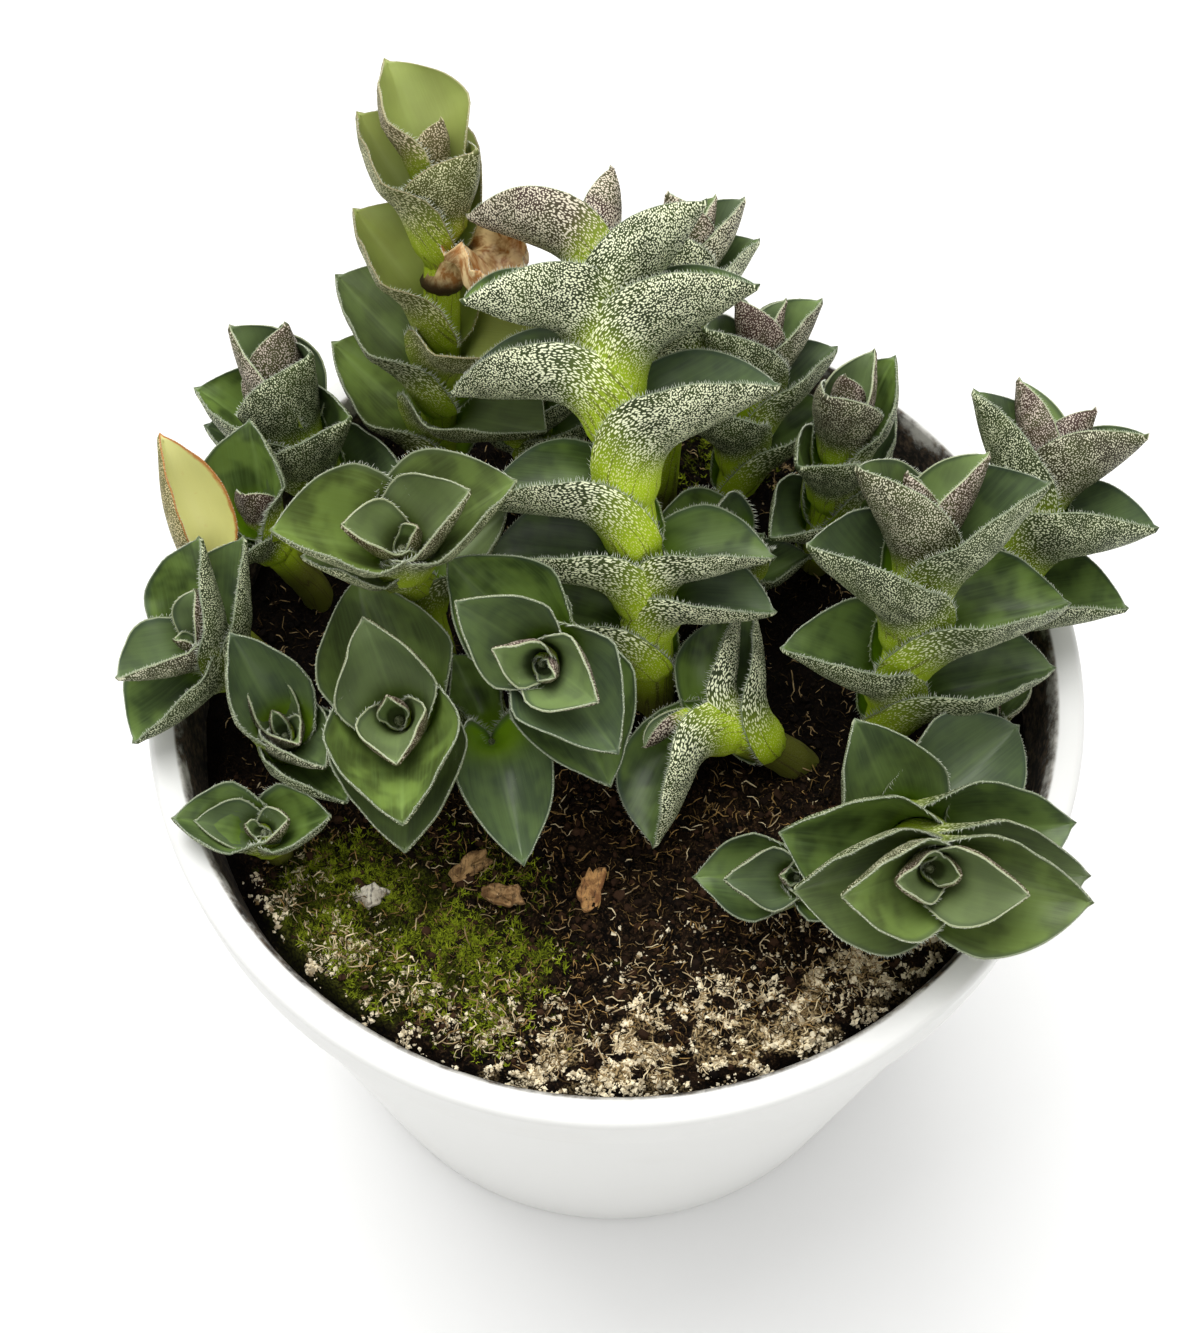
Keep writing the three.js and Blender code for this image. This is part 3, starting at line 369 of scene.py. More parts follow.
# A leaf in its neighbour's way opens, closes or turns a little, or sits a little higher or lower
# on its stem, and only then grows shorter: degrees of opening, degrees of turning, mm up the stem.
BENDS = [
    (0, 0, 0), (-8, 0, 0), (8, 0, 0), (0, 0, 1.5), (0, 0, -1.5), (0, 10, 0), (0, -10, 0),
    (-8, 0, 2), (8, 0, -2), (-16, 0, 0), (-8, 10, 0), (-8, -10, 0), (0, 10, 2), (0, -10, 2),
    (0, 0, 3.5), (0, 0, -3.5), (16, 0, 0), (-16, 0, 3.5), (16, 0, -3.5), (-24, 0, 0), (0, 20, 0),
    (0, -20, 0), (-16, 14, 0), (-16, -14, 0), (0, 20, 3), (0, -20, 3), (-24, 0, 5), (-32, 0, 0),
    (0, 0, 6), (-8, 20, 5), (-8, -20, 5), (-24, 20, 0), (-24, -20, 0), (-34, 0, 5),
]


def bent(leaf, curve, opening, turning, up, scale):
    p, a = curve.at_length(np.clip(leaf["d"] + up, 1, curve.total - 0.5))
    w = math.radians(turning)
    out = leaf["out"] * math.cos(w) + leaf["side"] * math.sin(w)
    out = unit(out - a * np.dot(out, a))
    return dict(
        leaf, at=p, axis=a, out=out, side=np.cross(a, out),
        open=float(np.clip(leaf["open"] + opening, 3, 86)),
        length=leaf["length"] * scale, width=leaf["width"] * scale,
    )


def settle(leaf, curve, owner):
    """The leaf where it first finds room, or None."""
    for scale in (1, 0.9, 0.8, 0.7, 0.6):
        for bend in BENDS:
            tried = bent(leaf, curve, *bend, scale)
            points = leaf_samples(tried)
            if is_above_ground(points) and is_free(points, owner):
                take(points, owner)
                return tried
    return None


def ring_around(p, a, radius, sides):
    """Rings of corners round the points p, square to the ways a."""
    e = unit(np.cross(a, (0.3, 0.9, 0.1)))
    g = np.cross(a, e)
    w = 2 * math.pi * np.arange(sides) / sides
    way = e[..., None, :] * np.cos(w)[:, None] + g[..., None, :] * np.sin(w)[:, None]
    return p[..., None, :] + np.asarray(radius, float)[..., None, None] * way


# All the stems take their room first, and then the leaves of one stem after another.
curves = [Curve(stem) for stem in STEMS]
for owner, (stem, curve) in enumerate(zip(STEMS, curves)):
    p, a = curve.at(np.arange(41) / 40)
    take(ring_around(p, a, stem["radius"], 8).reshape(-1, 3), owner)
settled = []
for owner, (stem, curve) in enumerate(zip(STEMS, curves)):
    tried = [settle(leaf, curve, owner) for leaf in stem_leaves(stem, curve)]
    settled.append([leaf for leaf in tried if leaf])


# Meshes.
class Soup:
    """Corners and triangles gathered for one piece, with what its materials read at each corner."""

    def __init__(self, *attributes):
        self.points, self.triangles, self.slots, self.count = [], [], [], 0
        self.attributes = {name: [] for name in attributes}

    def add(self, points, triangles, slot=0, **values):
        points = np.asarray(points, float).reshape(-1, 3)
        triangles = np.asarray(triangles, int).reshape(-1, 3)
        self.points.append(points)
        self.triangles.append(triangles + self.count)
        self.slots.append(np.full(len(triangles), slot))
        for name, kept in self.attributes.items():
            value = np.asarray(values.get(name, (0.0, 0.0, 0.0)), float)
            kept.append(np.broadcast_to(value, (len(points), 3)).copy())
        self.count += len(points)


def mesh_object(name, soup, materials, flat=False):
    mesh = bpy.data.meshes.new(name)
    points = np.concatenate(soup.points) * METRES
    triangles = np.concatenate(soup.triangles)
    mesh.vertices.add(len(points))
    mesh.vertices.foreach_set("co", points.ravel().astype(np.float32))
    mesh.loops.add(3 * len(triangles))
    mesh.loops.foreach_set("vertex_index", triangles.ravel().astype(np.int32))
    mesh.polygons.add(len(triangles))
    mesh.polygons.foreach_set("loop_start", (np.arange(len(triangles)) * 3).astype(np.int32))
    mesh.polygons.foreach_set("material_index", np.concatenate(soup.slots).astype(np.int32))
    mesh.polygons.foreach_set("use_smooth", np.full(len(triangles), not flat))
    mesh.update(calc_edges=True)
    for attribute, kept in soup.attributes.items():
        layer = mesh.attributes.new(attribute, "FLOAT_VECTOR", "POINT")
        layer.data.foreach_set("vector", np.concatenate(kept).ravel().astype(np.float32))
    for material in materials:
        mesh.materials.append(material)
    piece = bpy.data.objects.new(name, mesh)
    bpy.context.scene.collection.objects.link(piece)
    return piece


def tube_faces(rows, sides):
    """The triangles of a tube of corners, rows along it and sides around it."""
    i, j = np.meshgrid(np.arange(rows - 1), np.arange(sides), indexing="ij")
    i, j = i.ravel(), j.ravel()
    a, b = i * sides + j, i * sides + (j + 1) % sides
    return np.concatenate([np.stack([a, b, b + sides], 1), np.stack([a, b + sides, a + sides], 1)])


def outward(points, triangles):
    """Turns the triangles of a closed solid over if they face inward."""
    a, b, c = points[triangles[:, 0]], points[triangles[:, 1]], points[triangles[:, 2]]
    volume = (np.cross(a, b) * c).sum()
    return triangles if volume > 0 else triangles[:, ::-1]


def capped(rings, first, last):
    """A closed skin over rings of corners, drawn together to one corner at each end."""
    rows, sides = rings.shape[:2]
    points = np.concatenate([rings.reshape(-1, 3), [first, last]])
    j = np.arange(sides)
    k = (j + 1) % sides
    end, extra = (rows - 1) * sides, rows * sides
    faces = np.concatenate([
        tube_faces(rows, sides), np.stack([k, j, np.full(sides, extra)], 1),
        np.stack([end + j, end + k, np.full(sides, extra + 1)], 1)])
    return points, outward(points, faces)


def repeated(faces, corners, count):
    """The same faces for a row of like things, each with so many corners."""
    return (np.arange(count)[:, None, None] * corners + faces).reshape(-1, 3)


def thorns(foot, tip, side, other, radius, flat):
    """Thin three-sided spikes from every foot to its tip."""
    corners = [foot + side * radius]
    corners += [foot - side * radius * 0.5 + other * radius * k for k in (flat, -flat)]
    points = np.stack(corners + [tip], -2).reshape(-1, 3)
    return points, repeated(np.array([[0, 1, 3], [1, 2, 3], [2, 0, 3], [0, 2, 1]]), 4, len(points) // 4)


# Materials.
def rgb(code):
    """A colour written as six hex digits, as linear light."""
    parts = [int(code[i:i + 2], 16) / 255 for i in (0, 2, 4)]
    return [c / 12.92 if c <= 0.04045 else ((c + 0.055) / 1.055) ** 2.4 for c in parts] + [1.0]


class Paint:
    """A node material, built step by step."""

    def __init__(self, name):
        self.material = bpy.data.materials.new(name)
        self.material.use_nodes = True
        self.nodes = self.material.node_tree.nodes
        self.links = self.material.node_tree.links
        self.shader = self.nodes["Principled BSDF"]

    def put(self, socket, value):
        if isinstance(value, bpy.types.NodeSocket):
            self.links.new(value, socket)
        else:
            socket.default_value = value

    def node(self, kind, inputs, out=0, **settings):
        made = self.nodes.new("ShaderNode" + kind)
        for key, value in settings.items():
            setattr(made, key, value)
        for key, value in inputs.items():
            self.put(made.inputs[key], value)
        return made.outputs[out]

    def place(self):
        return self.node("TexCoord", {}, out="Object")

    def attribute(self, name):
        return self.node("Attribute", {}, attribute_name=name, out="Vector")

    def split(self, vector):
        made = self.nodes.new("ShaderNodeSeparateXYZ")
        self.links.new(vector, made.inputs[0])
        return made.outputs[0], made.outputs[1], made.outputs[2]

    def math(self, operation, *values):
        return self.node("Math", dict(enumerate(values)), operation=operation)

    def times(self, a, b):
        return self.math("MULTIPLY", a, b)

    def plus(self, a, b):
        return self.math("ADD", a, b)

    def minus(self, a, b):
        return self.math("SUBTRACT", a, b)

    def scaled(self, vector, by, shift=(0, 0, 0)):
        return self.node("Mapping", {"Vector": vector, "Scale": by, "Location": shift})

    def noise(self, vector, scale=1.0, detail=1.0, roughness=0.5):
        inputs = {"Vector": vector, "Scale": scale, "Detail": detail, "Roughness": roughness}
        return self.node("TexNoise", inputs, out="Fac")

    def step(self, x, low, high, to_low=0.0, to_high=1.0):
        inputs = {0: x, 1: low, 2: high, 3: to_low, 4: to_high}
        return self.node("MapRange", inputs, interpolation_type="SMOOTHSTEP")

    def mix(self, part, a, b):
        made = self.nodes.new("ShaderNodeMix")
        made.data_type = "RGBA"
        self.put(made.inputs["Factor"], part)
        self.put(made.inputs["A"], rgb(a) if isinstance(a, str) else a)
        self.put(made.inputs["B"], rgb(b) if isinstance(b, str) else b)
        return made.outputs["Result"]

    def coats(self, colour, *over):
        """Colours laid over the first one: for each, how much of it shows, and the colour."""
        for part, coat in over:
            colour = self.mix(part, colour, coat)
        return colour

    def bump(self, height, strength, distance):
        return self.node("Bump", {"Height": height, "Strength": strength, "Distance": distance})

    def finish(self, **sockets):
        for key, value in sockets.items():
            self.put(self.shader.inputs[key.replace("_", " ")], value)
        return self.material


def leaf_material(name, cover, pale_young, pale_grown):
    """Leaf: satin green inside, speckled outside, lime at the base, with a pale rim.

    "skin" holds the rim, the base and the outer face; "grow" the age, the yellowing and how dry
    it is; "grain" the place on the leaf in mm, across and along, with a number of its own. The
    papillae cover more of the skin with a higher cover.
    """
    paint = Paint(name)
    step, times, plus, minus = paint.step, paint.times, paint.plus, paint.minus
    rim, base, outer = paint.split(paint.attribute("skin"))
    age, yellow, dry = paint.split(paint.attribute("grow"))
    grain = paint.attribute("grain")
    across, along, own = paint.split(grain)
    blotch = paint.noise(grain, 0.22, 2)
    mottle = paint.noise(grain, 0.9, 3, 0.6)

    # Inner face: deep green, no two leaves alike, with fine lengthwise veins, a grey bloom and painted
    # shade at the bases of young leaves.
    veins = paint.noise(paint.scaled(grain, (2.6, 0.12, 1)), 1, 2, 0.6)
    midrib = step(paint.math("ABSOLUTE", across), 0, 0.5, 1, 0)
    tint = paint.math("FRACT", times(own, 0.173))
    ripe = step(plus(rim, times(mottle, 0.8)), 0.5, 1.1)
    inner = paint.coats(
        "3c4d20",
        (step(blotch, 0.35, 0.65), "70893e"),
        (times(tint, 0.6), "34432c"),
        (step(veins, 0.35, 0.7, 0, 0.22), "789650"),
        (times(midrib, 0.2), "93b060"),
        (step(age, 0.1, 1, 0.5, 0), "a0b47c"),
        (times(step(base, 0.08, 0.8, 0, 0.92), step(age, 0.45, 0.95)), "8cb41c"),
        # Painted shade: the bases of young leaves, down in the rosette cores, are darkened.
        (times(step(base, 0.1, 0.8, 0, 0.7), step(age, 0.3, 0.8, 1, 0)), "263018"),
        (times(tint, step(base, 0, 0.5, 0.5, 0)), "566252"),
        (step(rim, 0, 0.6, 0, 0.6), "3c4a40"),
        (step(yellow, 0, 0.6, 0, 0.75), "98a052"),
        (step(yellow, 0.6, 1, 0, 0.9), paint.mix(ripe, "eeeca0", "cf7c40")),
    )

    # Outer face: dark green or purple ground, with dark streaks, under pale papillae.
    streak = paint.noise(paint.scaled(grain, (0.75, 0.06, 1), (0, 5, 0)))
    streak = step(paint.math("ABSOLUTE", minus(streak, 0.5)), 0, 0.03, 1, 0)
    ground = paint.coats(
        "44302a",
        (step(age, 0.35, 0.95), "2a3417"),
        (step(blotch, 0.3, 0.75, 0, 0.5), "4c5a26"),
        (step(base, 0.08, 0.8), "b0cc18"),
        (times(yellow, 0.6), "757230"),
        (times(times(streak, step(base, 0.15, 0.45)), 0.6), "3a2226"),
    )
    spot = paint.node("CombineXYZ", {0: times(across, 4.2), 1: plus(times(along, 3.5), times(own, 0.37))})
    dots = paint.node("TexVoronoi", {"Vector": spot, "Scale": 1}, out="Distance", voronoi_dimensions="2D")
    warp = paint.noise(paint.scaled(grain, (0.8, 0.5, 1), (7, 3, 0)))
    fuzz = paint.noise(paint.scaled(grain, (5, 3.4, 1)))
    reach = minus(step(warp, 0.3, 0.7, cover - 0.15, cover), step(base, 0.1, 0.7, 0, 0.1))
    reach = plus(reach, times(minus(fuzz, 0.5), 0.4))
    speck = step(minus(reach, dots), -0.06, 0.06)
    grown, foot = (step(age, 0.35, 0.95), pale_grown), (step(base, 0.15, 0.8), "e6ee88")
    pale = paint.coats(pale_young, grown, foot, (times(yellow, 0.7), "d8ca88"))
    skin = paint.mix(times(speck, step(base, 0.5, 1, 0.95, 0.5)), ground, pale)

    # Both faces: silvery margins, and the crumpled brown of a dried leaf.
    edge = step(plus(rim, times(minus(mottle, 0.5), 0.4)), 0.72, 1)
    silver = paint.coats("b2ba94", (step(age, 0.3, 1), "7f896e"), (times(yellow, yellow), "b0763c"))
    crisp = paint.coats("a8713a", (step(mottle, 0.35, 0.65), "ecd09a"), (step(base, 0.5, 0.9), "3a2918"))
    height = plus(times(times(speck, outer), 0.6), times(veins, 0.35))
    return paint.finish(
        Base_Color=paint.coats(inner, (outer, skin), (times(edge, 0.8), silver), (dry, crisp)),
        Roughness=step(outer, 0, 1, 0.35, 0.62), Specular_IOR_Level=0.33,
        Normal=paint.bump(height, 0.35, 0.0002),
    )


def hair_material():
    return Paint("leaf_hair").finish(Base_Color=rgb("e4e9d6"), Roughness=0.6)


def soil_material():
    """Peat with patches of moss and of lime crust, and painted shade; "soil" holds moss, crust and painted
    shade.
    """
    paint = Paint("peat")
    step, times, plus = paint.step, paint.times, paint.plus
    moss, crust, painted_shade_amount = paint.split(paint.attribute("soil"))
    place = paint.place()
    coarse = paint.noise(place, 700, 5, 0.65)
    fine = paint.noise(place, 2600, 3, 0.6)
    green = paint.mix(step(fine, 0.35, 0.7), "1c1e08", "53561c")
    pale = paint.mix(step(fine, 0.35, 0.65), "2a2015", "b8a074")
    colour = paint.coats(
        "060403",
        (step(coarse, 0.4, 0.62), "20160e"),
        (step(fine, 0.52, 0.7, 0, 0.6), "5a452e"),
        (step(plus(moss, times(coarse, 0.6)), 0.62, 0.85), green),
        (step(plus(crust, times(fine, 0.7)), 1.2, 1.45), pale),
        # Painted shade: the peat turns near black under the leaves and in the gap along the pot wall.
        (times(painted_shade_amount, 0.9), "060403"),
    )
    height = plus(coarse, times(fine, 0.4))
    return paint.finish(
        Base_Color=colour, Roughness=0.95, Specular_IOR_Level=0.08, Normal=paint.bump(height, 0.9, 0.0006))


def grain_material(name, dark, light):
    """Crumbs, fibres and the like: each has its own tone, kept in "tone", and a fine grain."""
    paint = Paint(name)
    tone = paint.split(paint.attribute("tone"))[0]
    fine = paint.noise(paint.place(), 1500, 3, 0.6)
    part = paint.plus(paint.times(tone, 0.75), paint.times(fine, 0.4))
    return paint.finish(
        Base_Color=paint.mix(paint.step(part, 0.15, 0.95), dark, light), Roughness=0.9,
        Specular_IOR_Level=0.12, Normal=paint.bump(fine, 0.5, 0.0002))


def pot_material():
    """White plastic, stained with soil on the inner wall above the soil line, where the wall is also greyed
    by painted shade.
    """
    paint = Paint("white_plastic")
    step, times, plus = paint.step, paint.times, paint.plus
    place = paint.place()
    x, y, z = paint.split(place)
    radius = paint.math("SQRT", plus(times(x, x), times(y, y)))
    slope = (MOUTH_RADIUS - FOOT_RADIUS + WALL) / (RIM_HEIGHT - WALL)
    wall = plus(times(z, slope), (FOOT_RADIUS - WALL - slope * WALL) * METRES)
    inside = step(paint.minus(radius, wall), 0.0004, 0.0008, 1, 0)
    inside = times(inside, step(z, 0.001, 0.002))
    smear = paint.noise(place, 130, 5, 0.7)
    fine = paint.noise(place, 900, 4, 0.65)
    film = paint.noise(place, 45, 3, 0.6)
    height = step(z, (SOIL_LEVEL + 0.5) * METRES, (RIM_HEIGHT - 0.3) * METRES, 0.75, 0.1)
    stain = times(step(plus(plus(smear, height), times(fine, 0.35)), 0.62, 0.9), inside)
    colour = paint.coats(
        "dcdcd9",
        # Painted shade: the whole inner wall is made greyer than the white outside.
        (times(inside, 0.6), "b4afa5"),
        (stain, paint.mix(step(fine, 0.4, 0.7), "120c08", "5a4a3a")),
        (step(film, 0.55, 0.75, 0, 0.12), "c8c6be"),
    )
    rough = paint.node("MapRange", {0: stain, 1: 0, 2: 1, 3: 0.38, 4: 0.9})
    return paint.finish(Base_Color=colour, Roughness=rough, Normal=paint.bump(fine, 0.08, 0.0003))


def bark_material(name, dark, light):
    paint = Paint(name)
    place = paint.place()
    layers = paint.noise(paint.scaled(place, (1, 1, 4)), 600, 4, 0.6)
    cracks = paint.noise(paint.scaled(place, (3, 0.8, 1)), 900, 4, 0.7)
    colour = paint.coats(
        dark, (paint.step(layers, 0.35, 0.65), light), (paint.step(cracks, 0.5, 0.68, 0, 0.8), "20120a"))
    height = paint.plus(layers, cracks)
    return paint.finish(Base_Color=colour, Roughness=0.85, Normal=paint.bump(height, 0.8, 0.0005))


def floor_material():
    paint = Paint("floor")
    colour = paint.mix(paint.noise(paint.place(), 9, 3), "eeeeed", "f3f3f2")
    return paint.finish(Base_Color=colour, Roughness=0.8)


# Leafy stems.

# FROSTED stems have whiter papillae, and GROWN ones only grown leaves. YELLOW is how yellow a stem is,
# BARE the brown length of its foot in mm, LOWER how many degrees lower a leaf lies than in the solid,
# so that no margin shows through its neighbour, and DRY the dried leaf.
FROSTED = {"leafy_stem_tall_centre", "creeping_stem_centre", "leafy_stem_back_centre"}
GROWN = {"low_leaves_centre", "low_leaves_right"}
YELLOW = {
    "leafy_stem_tall_left": 0.52, "old_leaf_left_edge": 1.0, "rosette_front_right": 0.14,
    "rosette_left_back": 0.16, "rosette_left_front": 0.12,
}
BARE = {"creeping_stem_centre": 9.0, "leafy_stem_left_edge": 9.0, "rosette_left_back": 8.0}
USUAL_BARE = 3.0
LOWER = {("low_leaves_centre", 2): 9.0, ("rosette_front_right", 10): 24.0, ("rosette_front_right", 9): -9.0}
DRY = {("leafy_stem_tall_left", 4)}
STEM_SIDES = 20
HAIR_STEP = 0.3
HAIR_RADIUS = 0.046


def leaf_surface(leaf, course, s, t, seed):
    """The finer middle surface: flared sheath, and a little waviness over the blade."""
    p, n = leaf_points(leaf, course, s, t)
    rel = p - leaf["at"]
    up = (rel @ leaf["axis"])[..., None] * leaf["axis"]
    pinch = 1 - 0.42 * (1 - smooth(s / 0.16))
    p = leaf["at"] + up + (rel - up) * pinch[..., None]
    flare = 0.45 * smooth(s / course["hold"]) * smooth((1 - s) / 0.4)
    p = p + leaf["out"] * flare[..., None]
    across, along = t * leaf_section(leaf, course, s)[0], s * leaf["length"]
    blade = smooth((s - 0.2) / 0.3) * smooth((1 - s) / 0.15)
    ripple = 0.3 * noise(across / 2.5, along / 5, seed + 50) * np.abs(t) ** 3
    wave = 0.28 * noise(across / 6, along / 7, seed) + ripple
    return p + n * (wave * blade)[..., None], n, across, along


def around(inner, outer, right, left):
    """Rows that run across the inner face, over one margin and back along the outer face."""
    return np.concatenate([inner, right[:, None], outer[:, ::-1], left[:, None]], axis=1)


def both(values):
    """The same values on both faces, and on each margin those beside it."""
    return around(values, values, values[:, -1], values[:, 0])


def add_leaf(soup, leaf, seed, rng, yellow, dry):
    """A leaf with its thickness, its rounded margins, its tip and its hairs."""
    rows = int(np.clip(leaf["length"] * 1.15, 14, 30))
    lanes = 11 if leaf["length"] > 12 else 7
    course = leaf_frame(leaf, 4 * MIDRIB_STEPS)
    leaf = dict(leaf, blunt=0.8)
    s1 = 0.99 * (1 - (1 - np.linspace(0, 1, rows)) ** 1.3)
    w = leaf_section(leaf, course, s1)[0][:, None]
    margin, border, edge = np.minimum(0.11 / w, 0.08), np.minimum(1.0 / w, 0.22), np.ones((rows, 1))
    lane = np.linspace(-1, 1, lanes) * (1 - border)
    t = np.concatenate([-edge, margin - 1, lane, 1 - margin, edge], axis=1)
    cols = t.shape[1]
    s = np.repeat(s1[:, None], cols, 1)
    p, n, across, along = leaf_surface(leaf, course, s, t, seed)
    if dry:
        crumple = 2.6 * noise(across / 2.4, along / 2.8, seed + 9)
        crumple = crumple + 1.3 * noise(across / 1.1, along / 1.3, seed + 4)
        p = p + n * (crumple * smooth(s / 0.3))[..., None]
    thick = 0.7 if leaf["length"] < 11 else 1.0
    half = mix(thick, 0.26, np.abs(t) ** 2.5) / 2
    half = (half * mix(1.0, 0.7, smooth((s - 0.8) / 0.2)))[..., None]
    # The margins are rounded by one more corner that stands out sideways.
    left = p[:, 0] + unit(p[:, 0] - p[:, 1]) * 0.09
    right = p[:, -1] + unit(p[:, -1] - p[:, -2]) * 0.09
    rings = around(p + n * half, p - n * half, right, left)
    tip, tip_n = leaf_points(leaf, course, np.array([1.0]), np.array([0.0]))
    ahead = unit(tip[0] - p[-3, cols // 2])
    points, faces = capped(rings, rings[0].mean(0), tip[0] + ahead * 0.5 + tip_n[0] * 0.15)

    rim = np.broadcast_to([1.0, 0.62] + [0.0] * lanes + [0.62, 1.0], (rows, cols))
    base = 1 - smooth((s - 0.02) / 0.5)
    outer = around(np.zeros((rows, cols)), np.ones((rows, cols)), np.full(rows, 0.5), np.full(rows, 0.5))
    own = seed * 7.31
    skin = np.stack([both(rim), both(base), outer], -1).reshape(-1, 3)
    skin = np.concatenate([skin, [[0, 1, 1], [1, 0, 0.5]]])
    grain = np.stack([both(across), both(along), np.full(outer.shape, own)], -1).reshape(-1, 3)
    grain = np.concatenate([grain, [[0, 0, own], [0, leaf["length"], own]]])
    soup.add(points, faces, skin=skin, grain=grain, grow=(leaf["age"], yellow, float(dry)))
    add_hairs(soup, leaf["age"], left, p[:, 1], n[:, 0], s1, rng)
    add_hairs(soup, leaf["age"], right, p[:, -2], n[:, -1], s1, rng)


def add_hairs(soup, age, margin, inside, normal, s1, rng):
    """White hairs along one margin, longest round the sheath."""
    steps = np.linalg.norm(np.diff(margin, axis=0), axis=1)
    at = np.concatenate([[0], np.cumsum(steps)])
    number = int(at[-1] / HAIR_STEP)
    if number < 4:
        return
    where = (np.arange(number) + rng.uniform(-0.4, 0.4, number)) * HAIR_STEP
    where = np.clip(where, 0.0, at[-1])
    x = np.interp(where, at, np.arange(len(at)))
    i = np.minimum(x.astype(int), len(at) - 2)
    f = (x - i)[:, None]
    root = margin[i] * (1 - f) + margin[i + 1] * f
    across, along, up = unit(margin[i] - inside[i]), unit(margin[i + 1] - margin[i]), normal[i]
    s = np.interp(x, np.arange(len(s1)), s1)
    reach = mix(1.0, 0.42, smooth((s - 0.15) / 0.6)) * rng.uniform(0.6, 1.15, number)
    reach = reach * mix(0.6, 1.0, age)
    forward = rng.uniform(-0.1, 0.7, (number, 1))
    way = unit(across * 0.9 + along * forward + up * rng.uniform(-0.35, 0.6, (number, 1)))
    side = unit(np.cross(way, up))
    tip = root + way * reach[:, None]
    points, faces = thorns(root - across * 0.1, tip, side, np.cross(way, side), HAIR_RADIUS, 0.87)
    soup.add(points, faces, slot=1)


def add_stem(soup, stem, curve, yellow, seed):
    """The stem with its buried foot, brown next to the soil and lime green above it."""
    t = np.arange(41) / 40
    p, a = curve.at(t)
    radius = stem["radius"] * (1 - 0.78 * smooth((t - 0.72) / 0.28))
    swell = 1 + 0.03 * noise(t * 14, 0 * t, seed)
    foot = ring_around(curve.base - curve.rise * STUB, curve.rise, np.array(stem["radius"]), STEM_SIDES)
    rings = np.concatenate([foot[None], ring_around(p, a, radius * swell, STEM_SIDES)])
    points, faces = capped(rings, rings[0].mean(0), rings[-1].mean(0) + a[-1] * 0.4)

    def along(foot, values, top):
        """A value for every corner: those of the foot, of each ring and of the top."""
        return np.concatenate([np.repeat(np.concatenate([[foot], values]), STEM_SIDES), [foot, top]])

    height = t * curve.total
    brown = along(1.0, 1 - smooth((height - BARE.get(stem["name"], USUAL_BARE)) / 7), 0.0)
    green = along(0.92, 0.92 * (1 - smooth((t - 0.9) / 0.06)), 0.0)
    round_it = np.arange(STEM_SIDES) / STEM_SIDES * 2 * math.pi * stem["radius"]
    round_it = np.concatenate([np.tile(round_it, len(rings)), [0, 0]])
    own = np.concatenate([np.full(len(points) - 2, seed * 3.7), [0, 0]])
    one = np.ones(len(points))
    skin, grow = np.stack([0 * one, green, one], 1), np.stack([one, yellow * one, 0.85 * brown], 1)
    grain = np.stack([round_it, along(-STUB, height, curve.total), own], 1)
    soup.add(points, faces, skin=skin, grow=grow, grain=grain)


def build_shoot(number, stem, curve, leaves, skin, hair):
    """A stem with all its leaves."""
    rng = np.random.default_rng(100 + number)
    soup = Soup("skin", "grain", "grow")
    yellow = YELLOW.get(stem["name"], 0.0)
    add_stem(soup, stem, curve, yellow, number)
    for leaf in leaves:
        place = stem["name"], leaf["index"]
        leaf = dict(leaf, open=leaf["open"] + LOWER.get(place, 0.0))
        if stem["name"] in GROWN:
            leaf["age"] = 1.0
        tint = yellow * (1 if leaf["index"] < 7 else 0.3)
        add_leaf(soup, leaf, 17 * number + leaf["index"] + 1, rng, tint, place in DRY)
    piece = mesh_object("shoot_" + stem["name"], soup, [skin, hair])
    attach(piece, "root")
    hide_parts(stem["name"])


pale_skin = leaf_material("leaf_skin_pale", 0.42, "dcd0ba", "f2f6d0")
dusky_skin = leaf_material("leaf_skin_dusky", 0.35, "d0c2b2", "dae0ba")
hair = hair_material()
for number, (stem, curve, leaves) in enumerate(zip(STEMS, curves, settled)):
    skin = pale_skin if stem["name"] in FROSTED else dusky_skin
    build_shoot(number, stem, curve, leaves, skin, hair)


# The pot.
POT_SIDES = 180
HOLES = 6
HOLE_RING = 26.0
HOLE_RADIUS = 3.5


def lathe(outline, sides):
    """A body turned round the pot's axis; its outline starts and ends on the axis."""
    outline = np.array(outline, float)
    w = 2 * math.pi * np.arange(sides) / sides
    r, z = outline[1:-1, :1], outline[1:-1, 1:]
    rings = np.stack([r * np.cos(w), r * np.sin(w), z + 0 * w], -1)
    return capped(rings, (0, 0, outline[0, 1]), (0, 0, outline[-1, 1]))


def inner_radius(z):
    return mix(FOOT_RADIUS - WALL, MOUTH_RADIUS, (z - WALL) / (RIM_HEIGHT - WALL))


def arc(centre, radius, start, stop, steps):
    w = np.radians(np.linspace(start, stop, steps))
    return [(centre[0] + radius * math.cos(v), centre[1] + radius * math.sin(v)) for v in w]


def cut_holes(pot):
    """The drainage holes, cut by drums that are taken away again."""
    soup = Soup()
    drum, sides = lathe([(0, -2), (HOLE_RADIUS, -2), (HOLE_RADIUS, 3), (0, 3)], 32)
    for i in range(HOLES):
        w = math.pi / 3 * (i + 0.5)
        soup.add(drum + np.array([HOLE_RING * math.cos(w), HOLE_RING * math.sin(w), 0]), sides)
    cutter = mesh_object("cutter", soup, [])
    hole = pot.modifiers.new("holes", "BOOLEAN")
    hole.object, hole.operation, hole.solver = cutter, "DIFFERENCE", "EXACT"
    bpy.context.view_layer.update()
    done = bpy.data.meshes.new_from_object(pot.evaluated_get(bpy.context.evaluated_depsgraph_get()))
    pot.modifiers.clear()
    pot.data = done
    bpy.data.objects.remove(cutter)
    done.polygons.foreach_set("use_smooth", np.ones(len(done.polygons), bool))
    done.set_sharp_from_angle(angle=math.radians(40))


